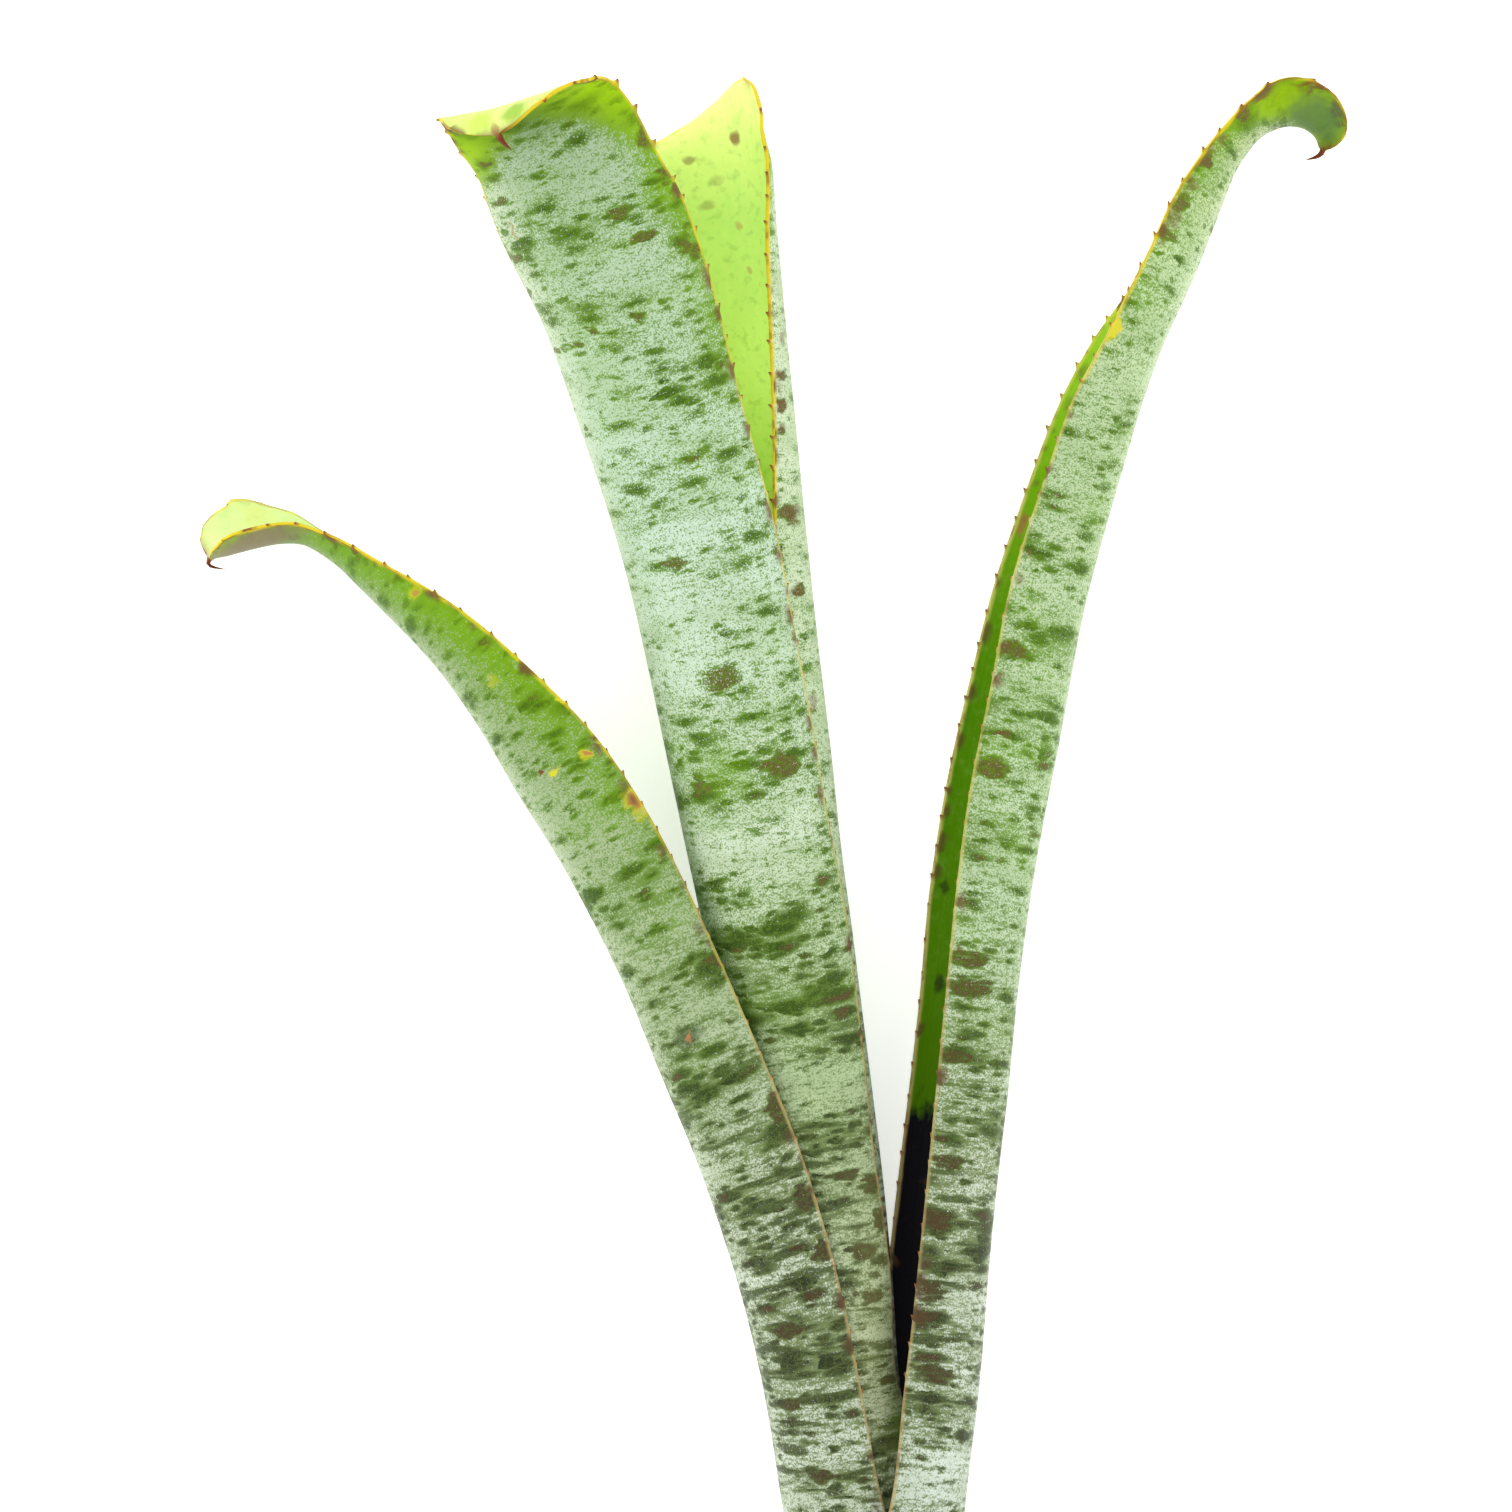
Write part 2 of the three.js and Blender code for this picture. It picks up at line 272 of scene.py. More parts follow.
clouds = {  # size across and along, seed and detail of each noise
    'bands': (80, 15, 0, 1.0),  # cross bands, thick bloom and thin
    'drift': (34, 26, 2, 2.0),  # wide fields that are greener
    'grain': (0.50, 0.50, 11, 2.0),
    'fine': (1.7, 1.1, 12, 2.0),
    'strands': (16, 1.5, 15, 1.0),
    'streak': (18, 3.2, 13, 2.0),
    'rust': (15, 8, 17, 1.0),
    'lush': (24, 15, 19, 1.0),
    'patchy': (26, 9, 18, 1.0),
    'veins': (0.9, 90, 21, 2.0),
}

spotLayers = {  # size across and along, smallest and spread of sizes, pull of the bias, softness
    'large': {'size': (18, 7.4), 'seed': 5, 'least': -0.54, 'spread': 0.84, 'pull': 0.8, 'soft': 2.0},
    'medium': {'size': (14, 4.4), 'seed': 9, 'least': -0.14, 'spread': 0.54, 'pull': 0.7, 'soft': 1.8},
    'small': {'size': (6.6, 2.4), 'seed': 10, 'least': -0.18, 'spread': 0.60, 'pull': 0.6, 'soft': 1.5},
    'ticks': {'size': (3.4, 1.3), 'seed': 14, 'least': -0.72, 'spread': 0.98, 'pull': 0.0, 'soft': 1.0},
}

spotPull = {  # where there are more spots, and how strongly the kinds of spot show
    'bands': 0.9, 'drift': 0.6, 'coat': 0.55, 'sunny': 0.11,
    'large': 0.95, 'small': 0.8, 'streak': 0.25, 'lowStreak': 0.45, 'brown': 0.85,
    'streakBias': 0.2, 'streakLow': 0.04, 'ownBlot': 0.45,
}

bloomCover = {  # what thickens or thins the bloom, and by how much
    # far: painted rim light, thicker bloom on the side towards the silhouette
    'start': 0.52, 'coat': 0.5, 'drift': 0.25, 'bands': 0.25, 'lowBands': 0.3, 'far': 0.16,
    'spots': 0.40, 'ribs': 0.11, 'crest': 1.1, 'ticks': 0.25, 'brown': 0.06,
    'grain': 1.8, 'lowGrain': 0.5, 'fine': 0.9, 'bloomEdge': (0.24, 0.66), 'veilEdge': (0.12, 0.60),
}

onset = {  # where each mask sets in, and where it is full
    'nearMargin': (2, 13), 'nearSide': (-8, 8), 'glowSide': (-6, 6),
    'ribs': (0.46, 0.66), 'streak': (0.53, 0.70), 'brownStrands': (0.55, 0.85),
    'green': (0.1, 0.7), 'dark': (0.32, 0.92), 'rust': (0.53, 0.72), 'rustOnSpots': (0.45, 1.0),
    'lush': (0.50, 0.70), 'brown': (0.35, 1.25), 'patchy': (0.40, 0.66), 'veins': (0.56, 0.74),
    'foot': (22, 52), 'sunk': (5, 14),
}

tints = {  # how strongly each tint lies over the one before it
    # far: painted rim light, cream silver on the side towards the silhouette
    'sunny': 0.95, 'lush': 0.45, 'brown': 0.85, 'veil': 0.3, 'patchy': 0.35, 'far': 0.7,
    'veins': 0.12, 'foot': 0.85, 'sunk': 0.8, 'silver': (0.55, 0.45),
    'sunnyOffSpots': 0.75, 'crestOffSpots': 0.6, 'lushOffSpots': 0.7,  # tints that the spots keep off
    'rustLow': 0.07, 'rustBlots': 0.82,
    'glowAway': (0.3, 0.7),  # the glow is weaker on the margin turned away
}

ragged = {  # how far noise moves the edge of a band or a tint: millimetres, then shares
    'push': (4.5, 2.4), 'pushFar': 6.5,
    'bands': 16, 'paintedGlow': 8, 'crest': 16, 'foot': 20, 'sunk': 9,
    'speckle': (1.9, 1.5), 'green': 0.4, 'darkSpots': 0.8, 'darkTicks': 0.4, 'brown': 0.8,
}


def spotLayer(name, place, seed, bias):
    layer = spotLayers[name]
    return flecks(place, *layer['size'], seed + layer['seed'], layer['least'], layer['spread'],
                  bias * layer['pull'], layer['soft'])


def outerSkin(name, look):
    material, start = startMaterial(name)
    seed = look['seed']
    place, along, parts = skinReadings(start)
    margin, tip, _ = parts
    side = place.node('ShaderNodeSeparateXYZ', {}, {'Vector': place}, 'X') * look['glowSide']
    moved = shift(place, *ragged['push'], seed + 1, ragged['pushFar'])

    def field(kind):
        wide, tall, ahead, detail = clouds[kind]
        return cloud(place, wide, tall, seed + ahead, detail)

    bands, drift, grain, fine = field('bands'), field('drift'), field('grain'), field('fine')
    reach = (along + (bands - 0.5) * ragged['bands']) * (1 / look['length'])
    coat = ramp(reach, look['coat'])
    low = 1 - softStep(along, *bloomSkin['lowToHigh'])
    nearMargin = (1 - softStep(margin, *onset['nearMargin'])) * softStep(side, *onset['nearSide'])
    sunny = 1 - softStep(margin + drift * ragged['paintedGlow'], *look['glowWide'])
    sunny = sunny * (1 - softStep(tip, *look['glowLong']))
    glowLeast, glowMore = tints['glowAway']
    sunny = sunny * (glowLeast + softStep(side, *onset['glowSide']) * glowMore)
    # far is painted rim light: the side of the leaf towards its silhouette is painted paler, with more bloom
    # and a cream silver
    far = softStep(0 - side, *look['rimLightSide']) * (1 - low * look['rimLightFade'])
    crestFrom, crestTo, crestMargin = look['glowTip']
    crest = 1 - softStep(tip + (drift - 0.5) * ragged['crest'] + margin * crestMargin, crestFrom, crestTo)

    bias = (0.5 - bands) * spotPull['bands'] + (0.5 - drift) * spotPull['drift']
    bias = bias + (0.5 - coat) * spotPull['coat'] + look['spotBias']
    bias = bias + sunny * spotPull['sunny']
    large, medium, small = [spotLayer(kind, place, seed, bias) for kind in ('large', 'medium', 'small')]
    strands = field('strands')
    ribs = softStep(strands, *onset['ribs']) * low
    streak = softStep(field('streak') + bias * spotPull['streakBias'] + low * spotPull['streakLow'],
                      *onset['streak'])
    smear = streak * (spotPull['streak'] + low * spotPull['lowStreak'])
    spots = most(most(large * spotPull['large'], medium), most(smear, small * spotPull['small']))
    brownBlots = roundBlot(moved, look['blots'][0])
    for blot in look['blots'][1:]:
        brownBlots = most(brownBlots, roundBlot(moved, blot))
    brownBlots = brownBlots * softStep(strands + brownBlots * spotPull['ownBlot'], *onset['brownStrands'])
    spots = most(spots, brownBlots * spotPull['brown'])
    ticks = spotLayer('ticks', moved, seed, 0.0)  # small dark ticks in the bloom

    by = bloomCover
    cover = by['start'] + look['bloom'] + (coat - 0.5) * by['coat'] + (drift - 0.5) * by['drift']
    # painted rim light: more bloom on the far side
    cover = cover + (bands - 0.5) * (by['bands'] + low * by['lowBands']) + far * by['far']
    cover = cover - spots * by['spots'] - ribs * by['ribs'] - sunny * look['sunny'] - crest * by['crest']
    cover = cover - ticks * by['ticks'] - brownBlots * by['brown']
    speckled = cover + (grain - 0.5) * (by['grain'] - low * by['lowGrain']) + (fine - 0.5) * by['fine']
    bloom = softStep(speckled, *by['bloomEdge'])
    veil = softStep(cover, *by['veilEdge'])

    byGrain, byFine = ragged['speckle']
    speckle = (grain - 0.5) * byGrain + (fine - 0.5) * byFine
    mask = softStep(spots + speckle * ragged['green'], *onset['green'])
    ground = blend(mask, lowHigh(along, 'thin'), lowHigh(along, 'green'))
    mask = softStep(spots * ragged['darkSpots'] + ticks * ragged['darkTicks'] + speckle, *onset['dark'])
    ground = blend(mask, ground, lowHigh(along, 'dark'))
    mask = sunny * (1 - spots * tints['sunnyOffSpots']) * tints['sunny']
    ground = blend(mask, ground, bloomSkin['leafy'])
    ground = blend(crest * (1 - spots * tints['crestOffSpots']), ground, bloomSkin[look['crestHue']])
    ground = blend(crest * streak * look['crestStreak'], ground, lowHigh(along, 'green'))
    rust = field('rust') + nearMargin * look['rust'] + low * tints['rustLow']
    rusty = softStep(rust, *onset['rust']) * softStep(spots, *onset['rustOnSpots'])
    rusty = most(rusty, brownBlots * tints['rustBlots'])
    lush = softStep(field('lush'), *onset['lush'])
    mask = lush * (1 - low) * (1 - spots * tints['lushOffSpots']) * tints['lush']
    ground = blend(mask, ground, bloomSkin['leafy'])
    mask = softStep(rusty + speckle * ragged['brown'], *onset['brown']) * tints['brown']
    ground = blend(mask, ground, lowHigh(along, 'brown'))
    ground = blend(veil * (1 - most(sunny, crest)) * tints['veil'], ground, lowHigh(along, 'veiled'))
    silver = ramp(reach, look['pale'])
    patchy = softStep(field('patchy'), *onset['patchy'])
    silverLeast, silverMore = tints['silver']
    mask = (silverLeast + veil * silverMore) * (1 - patchy * tints['patchy'])
    silver = blend(mask, lowHigh(along, 'mist'), silver)
    # painted rim light: cream silver on the far side
    silver = blend(far * tints['far'], silver, bloomSkin['rimLightCream'])
    colour = blend(bloom, ground, silver)

    veins = field('veins')
    colour = blend(softStep(veins, *onset['veins']) * tints['veins'], colour, lowHigh(along, 'green'))
    for blot, hue, strength in look['marks']:
        colour = blend(roundBlot(moved, blot) * strength, colour, hueOf(along, hue))
    foot = 1 - softStep(along + drift * ragged['foot'], *onset['foot'])  # dry papery sheath
    colour = blend(foot * tints['foot'], colour, bloomSkin['foot'])
    sunk = 1 - softStep(along + fine * ragged['sunk'], *onset['sunk'])
    colour = blend(sunk * tints['sunk'], colour, bloomSkin['sunk'])
    colour = edgeColour(colour, place, along, parts, seed, look, bloomSkin['burnt'])

    bare, bloomed = bloomSkin['roughness']
    byVeins, byGrain, byRibs = bloomSkin['relief']
    height = veins * byVeins + grain * byGrain + ribs * byRibs
    finishMaterial(start, colour, bare + bloom * bloomed, height, bloomSkin['fixed'], colour)
    return material


innerSkin = {
    'vein': paint(214, 232, 120),
    'deep': paint(70, 120, 8),
    'fleck': paint(104, 78, 40),
    'push': (3.5, 2.5), 'pushFar': 3.0,
    'wander': (9, 12), 'wanderBy': 22, 'ragged': (2.2, 6), 'raggedBy': 16, 'shadeEndWidth': 0.1,
    'mottle': (3.2, 3), 'paleMottle': (0.48, 0.70), 'deepMottle': (0.30, 0.50), 'deepShare': 0.7,
    'veins': (1.1, 120), 'veinEdge': (0.5, 0.7), 'veinShare': 0.35,
    'specks': (11, 8), 'speckSizes': (-0.80, 0.92), 'grain': (0.8, 0.8), 'grainShare': 0.3,
    'roughness': (0.40, 0.2),
    # Emission Strength makes the inner faces glow in their own colour: painted light standing in for light
    # passing through the leaf.
    'fixed': {'bump': 0.35, 'depth': 0.0003,
              'shader': {'Sheen Weight': 0.0, 'Specular IOR Level': 0.12, 'Emission Strength': 0.30}},
}


def innerFace(name, look):
    material, start = startMaterial(name)
    seed = look['seed'] + 50
    place, along, parts = skinReadings(start)
    moved = shift(place, *innerSkin['push'], seed + 1, innerSkin['pushFar'])
    wander = (cloud(place, *innerSkin['wander'], seed, 3.0) - 0.5) * innerSkin['wanderBy']
    torn = (cloud(place, *innerSkin['ragged'], seed + 2, 3.0) - 0.5) * innerSkin['raggedBy']
    reach = (along + wander + torn) * (1 / look['length'])
    # The inside ramp is the inner face's green, painted darker towards the foot as shade deep in the rolled
    # leaf and paler near the tip as light passing through it.
    colour = ramp(reach, look['inside'])
    # the mottle shows only beyond the painted shade
    lit = softStep(reach, look['shadeEnd'], look['shadeEnd'] + innerSkin['shadeEndWidth']) * look['insideMottle']
    mottle = cloud(place, *innerSkin['mottle'], seed + 4, 5.0)
    colour = blend(softStep(mottle, *innerSkin['paleMottle']) * lit, colour, innerSkin['vein'])
    deep = 1 - softStep(mottle, *innerSkin['deepMottle'])
    colour = blend(deep * lit * innerSkin['deepShare'], colour, innerSkin['deep'])
    veins = cloud(place, *innerSkin['veins'], seed + 6, 2.0)
    colour = blend(softStep(veins, *innerSkin['veinEdge']) * lit * innerSkin['veinShare'], colour,
                   innerSkin['vein'])
    specks = flecks(place, *innerSkin['specks'], seed + 8, *innerSkin['speckSizes'], 0.0)
    colour = blend(specks * look['specks'], colour, innerSkin['fleck'])
    for blot, hue, strength in look['insideMarks']:
        colour = blend(roundBlot(moved, blot) * strength, colour, hueOf(along, hue))
    colour = edgeColour(colour, place, along, parts, seed, look, look['insideBurnt'])
    plain, mottled = innerSkin['roughness']
    height = veins + cloud(place, *innerSkin['grain'], seed + 9, 1.0) * innerSkin['grainShare']
    finishMaterial(start, colour, plain + mottle * mottled, height, innerSkin['fixed'], colour)
    return material


cutEdge = {  # the edge of the blade, between the outer and the inner face
    'burnt': (5, 5), 'burntEdge': (0.48, 0.66), 'burntShare': (0.6, 0.35), 'tooth': (0.4, 0.95),
    'grain': (0.7, 2), 'roughness': (0.5, 0.2),
}


def rimSkin(name, look):
    material, start = startMaterial(name)
    seed = look['seed'] + 90
    place, along, (_, tip, tooth) = skinReadings(start)
    burnt = softStep(cloud(place, *cutEdge['burnt'], seed, 3.0), *cutEdge['burntEdge'])
    ripe = 1 - softStep(tip, *look['ripeRim'])
    colour = blend(ripe, lowHigh(along, 'rim'), bloomSkin['ripeRim'])
    red = 1 - softStep(tip, *look['redRim'])
    burntLeast, burntMore = cutEdge['burntShare']
    colour = blend(burnt * (burntLeast + red * burntMore), colour, bloomSkin['tooth'])
    colour = blend(softStep(tooth, *cutEdge['tooth']), colour, bloomSkin['tooth'])
    colour = blend(1 - softStep(tip, *look['spineTo']), colour, bloomSkin['spine'])
    height = cloud(place, *cutEdge['grain'], seed + 3, 1.0)
    plain, charred = cutEdge['roughness']
    finishMaterial(start, colour, plain + burnt * charred, height, bloomSkin['fixed'], colour)
    return material


blade = {  # millimetres
    'thickness': 1.3, 'marginThickness': 0.9, 'columns': 32,
    'crowding': (0.72, 0.28),  # columns lie closer together at the margins
    'plainStep': 3.0, 'toothPitch': (6.6, 9.2), 'toothLean': 0.75,
    'tipPitch': (5.2, 6.8), 'toothTip': 0.6,
    'firstTooth': 3, 'lastTooth': 8.5, 'toothHalf': 1.1,
    'tipZone': 40, 'tipStep': 0.9, 'bodyStep': 1.5,  # rows lie closer together near the tip
    'ripeTeeth': (260, 120), 'lastTeeth': (9, 30),
    'spineRoom': (7.0, 7.6, 0.6),  # where the body's rows end, and their last step
    'spineRows': (6.6, 6.1, 5.75, 5.5, 4.6, 3.6, 2.6, 1.6, 0.8, 0.0),
    'curlLeft': (0.35, 0.65),  # a tip that narrows also opens out
    'swaySize': (26, 34), 'swayTip': (2, 14), 'swaySeed': 5.3,
    'waveFrom': (2.5, 5), 'waveTip': (2, 10), 'waveAcross': 0.7, 'wavePower': 4, 'waveSeed': 2.9,
    'probe': 0.5,  # half the stretch that gives the direction
    'toothMark': (0.3, 0.7, 0.4),  # what the skin reads as a tooth
    'weld': 0.02,  # corners closer than this become one
    'toothRows': [(-1.1, 0.0), (-0.7, 0.16), (-0.3, 0.55), (0.0, 1.0), (0.3, 0.45), (0.65, 0.1), (1.1, 0.0)],
    'spineLength': 5.5, 'spineWidth': 2.0, 'spineThickness': 1.2,
    'sheathStraight': 10, 'sheathFree': 75, 'restSnap': 0.12, 'sway': 0.40, 'swayFrom': (95, 170),
}


def meshPiece(name, shape, soft=True):  # turns a bmesh into an object in the scene
    for face in shape.faces:
        face.smooth = soft
    mesh = bpy.data.meshes.new(name)
    shape.to_mesh(mesh)
    shape.free()
    piece = bpy.data.objects.new(name, mesh)
    bpy.context.scene.collection.objects.link(piece)
    return piece, mesh


def between(stations, marks, distance):  # smooth curve through the stations
    last = len(stations) - 2
    i = 0
    while i < last and marks[i + 1] < distance:
        i += 1
    span = marks[i + 1] - marks[i]
    t = (distance - marks[i]) / span

    def rise(first, second, part):
        return (stations[second][part] - stations[first][part]) / (marks[second] - marks[first])

    def slope(k, part):
        if k == 0:
            return rise(0, 1, part)
        if k == len(stations) - 1:
            return rise(k - 1, k, part)
        back, ahead = marks[k] - marks[k - 1], marks[k + 1] - marks[k]
        return (rise(k - 1, k, part) * ahead + rise(k, k + 1, part) * back) / (back + ahead)

    a, b = 2 * t ** 3 - 3 * t ** 2 + 1, t ** 3 - 2 * t ** 2 + t
    c, d = 3 * t ** 2 - 2 * t ** 3, t ** 3 - t ** 2
    return [stations[i][part] * a + slope(i, part) * span * b
            + stations[i + 1][part] * c + slope(i + 1, part) * span * d for part in range(6)]


def smooth(low, high, value):
    t = min(max((value - low) / (high - low), 0.0), 1.0)
    return t * t * (3 - 2 * t)


def rowPlaces(length, leaf, dice):  # how far along each row lies, its share of a tooth and the teeth's heights
    places, at = [], 0.0
    while at < leaf['toothed']:
        places.append((at, 0.0, (0.0, 0.0)))
        at += blade['plainStep']
    centre = leaf['toothed'] + blade['firstTooth']
    ripeFrom, ripeTo = blade['ripeTeeth']
    half = blade['toothHalf']
    while centre < length - blade['lastTooth']:
        ripe = smooth(length - ripeFrom, length - ripeTo, centre)  # teeth are longer up the leaf
        small, large = leaf['teeth'], leaf['tipTeeth']
        close = leaf['lastTeeth'] + (1 - leaf['lastTeeth']) * smooth(*blade['lastTeeth'], length - centre)
        heights = tuple((dice.uniform(*small) * (1 - ripe) + dice.uniform(*large) * ripe) * close
                        for _ in range(2))
        for offset, share in blade['toothRows']:
            places.append((centre + offset, share, heights))
        nearTip = length - centre < blade['tipZone']
        pitch = dice.uniform(*blade['tipPitch' if nearTip else 'toothPitch'])
        gap = pitch - half * 2
        steps = max(int(gap / blade['tipStep' if nearTip else 'bodyStep']), 1)
        for i in range(1, steps + 1):
            places.append((centre + half + gap * i / (steps + 1), 0.0, (0.0, 0.0)))
        centre += pitch
    clear, fillTo, fillStep = blade['spineRoom']
    places = [place for place in places if place[0] < length - clear]
    while places[-1][0] < length - fillTo:
        places.append((places[-1][0] + fillStep, 0.0, (0.0, 0.0)))
    for left in blade['spineRows']:
        places.append((length - left, 0.0, (0.0, 0.0)))
    return places


def leafRows(leaf, dice):
    stations = leaf['stations']
    marks = [0.0]
    for before, after in zip(stations, stations[1:]):
        marks.append(marks[-1] + (Vector(after[:3]) - Vector(before[:3])).length)
    length = marks[-1]
    side = Vector((1, 0, 0))
    rows = []
    for at, share, heights in rowPlaces(length, leaf, dice):
        x, y, z, fullWidth, fullCurl, facing = between(stations, marks, at)
        ahead = Vector(between(stations, marks, min(at + blade['probe'], length))[:3])
        behind = Vector(between(stations, marks, max(at - blade['probe'], 0.0))[:3])
        along = (ahead - behind).normalized()
        along = along.lerp(Vector((0, 1, 0)), 1 - smooth(blade['sheathStraight'], blade['sheathFree'], y))
        along.normalize()
        side = (side - along * side.dot(along)).normalized()
        up = side.cross(along)
        left = length - at
        solid = max(left - blade['spineLength'], 0.0)
        fill = math.sqrt(1 - (1 - solid / leaf['rounding']) ** 2) if solid < leaf['rounding'] else 1.0
        tipShare = min(left / blade['spineLength'], 1.0)
        width = max(fullWidth * fill, blade['spineWidth'] * tipShare, 0.001)
        curlKept, curlByFill = blade['curlLeft']
        curl = math.radians(fullCurl * (curlKept + curlByFill * fill))
        face = math.radians(facing)
        out = side * math.cos(face) + up * math.sin(face)
        rows.append({
            'at': at, 'left': left, 'share': share, 'heights': heights, 'along': along, 'side': side.copy(),
            'up': up, 'width': width, 'curl': curl, 'face': face, 'radius': width / curl,
            'centre': Vector((x, y, z)) - out * (width / curl), 'keelY': y,
            'spine': solid <= 0.0, 'tipShare': tipShare,
        })
    return rows, length


def leafPoint(row, across, leaf):  # outer face point, thickness and what the skin reads there
    angle = row['face'] + across * row['curl'] / 2
    normal = row['side'] * math.cos(angle) + row['up'] * math.sin(angle)
    point = row['centre'] + normal * row['radius']
    thickness = blade['thickness'] + (blade['marginThickness'] - blade['thickness']) * across ** 2
    if row['spine']:
        thickness = min(thickness, blade['spineThickness'] * row['tipShare'])
    reach = smooth(*blade['swayFrom'], row['keelY']) * smooth(*blade['swayTip'], row['left'])
    swayAcross, swayAlong = blade['swaySize']
    spot = Vector((across * row['width'] / swayAcross, row['at'] / swayAlong, leaf['seed'] * blade['swaySeed']))
    sway = noise.noise(spot) * blade['sway'] * reach
    waveSeed = leaf['seed'] * blade['waveSeed']
    spot = Vector((row['at'] / leaf['waveLength'], across * blade['waveAcross'], waveSeed))
    wave = noise.noise(spot)
    waveFrom, waveTo = blade['waveFrom']
    near = 1 - smooth(leaf['waveLength'] * waveFrom, leaf['waveLength'] * waveTo, row['left'])
    sway += wave * leaf['wave'] * near * across ** blade['wavePower'] * smooth(*blade['waveTip'], row['left'])
    point += normal * sway
    tooth = 0.0
    if abs(across) > 0.999 and row['share'] > 0:
        height = row['heights'][0 if across < 0 else 1]
        turn = angle + math.copysign(math.pi / 2, across)
        beyond = row['side'] * math.cos(turn) + row['up'] * math.sin(turn)
        point += beyond * (row['share'] * height) + row['along'] * (row['share'] ** 2 * blade['toothLean'])
        thickness += (blade['toothTip'] - thickness) * row['share']
        markLeast, markByShare, fullHeight = blade['toothMark']
        tooth = (markLeast + markByShare * row['share']) * min(height / fullHeight, 1.0)
    if abs(point.z) < blade['restSnap'] or point.z < 0:
        point.z = 0.0
    margin = (1 - abs(across)) * row['width'] / 2
    place = Vector((across * row['width'] / 2, row['at'], 0.0))
    return point, thickness, place, Vector((margin, row['left'], tooth))


def makeLeaf(name, node, leaf):
    dice = random.Random(leaf['seed'])
    rows, length = leafRows(leaf, dice)
    leaf['length'] = length
    columns = blade['columns']
    sheet = bmesh.new()
    bmesh.ops.create_grid(sheet, x_segments=columns, y_segments=len(rows) - 1, size=1.0)
    placeLayer = sheet.verts.layers.float_vector.new('leafPlace')
    edgeLayer = sheet.verts.layers.float_vector.new('leafEdge')
    groupLayer = sheet.verts.layers.deform.verify()
    for vert in sheet.verts:
        i = round((vert.co.y + 1) / 2 * (len(rows) - 1))
        u = -vert.co.x  # runs backwards so that faces look outwards
        across = blade['crowding'][0] * math.sin(u * math.pi / 2) + blade['crowding'][1] * u
        point, thickness, place, edge = leafPoint(rows[i], across, leaf)
        vert.co = point / 1000
        vert[placeLayer] = place
        vert[edgeLayer] = edge
        vert[groupLayer][0] = thickness / blade['thickness']
    bmesh.ops.remove_doubles(sheet, verts=sheet.verts, dist=blade['weld'] / 1000)
    piece, mesh = meshPiece(name, sheet)
    piece.vertex_groups.new(name='thick')
    for skin in (outerSkin(name + 'Outer', leaf), innerFace(name + 'Inner', leaf), rimSkin(name + 'Rim', leaf)):
        mesh.materials.append(skin)
    wall = piece.modifiers.new('wall', 'SOLIDIFY')
    wall.thickness = blade['thickness'] / 1000
    wall.offset = -1.0
    wall.vertex_group = 'thick'
    wall.material_offset = 1
    wall.material_offset_rim = 2
    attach(piece, 'root')
    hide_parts(node)
    print(name, 'length', round(length), 'mm,', len(rows), 'rows')


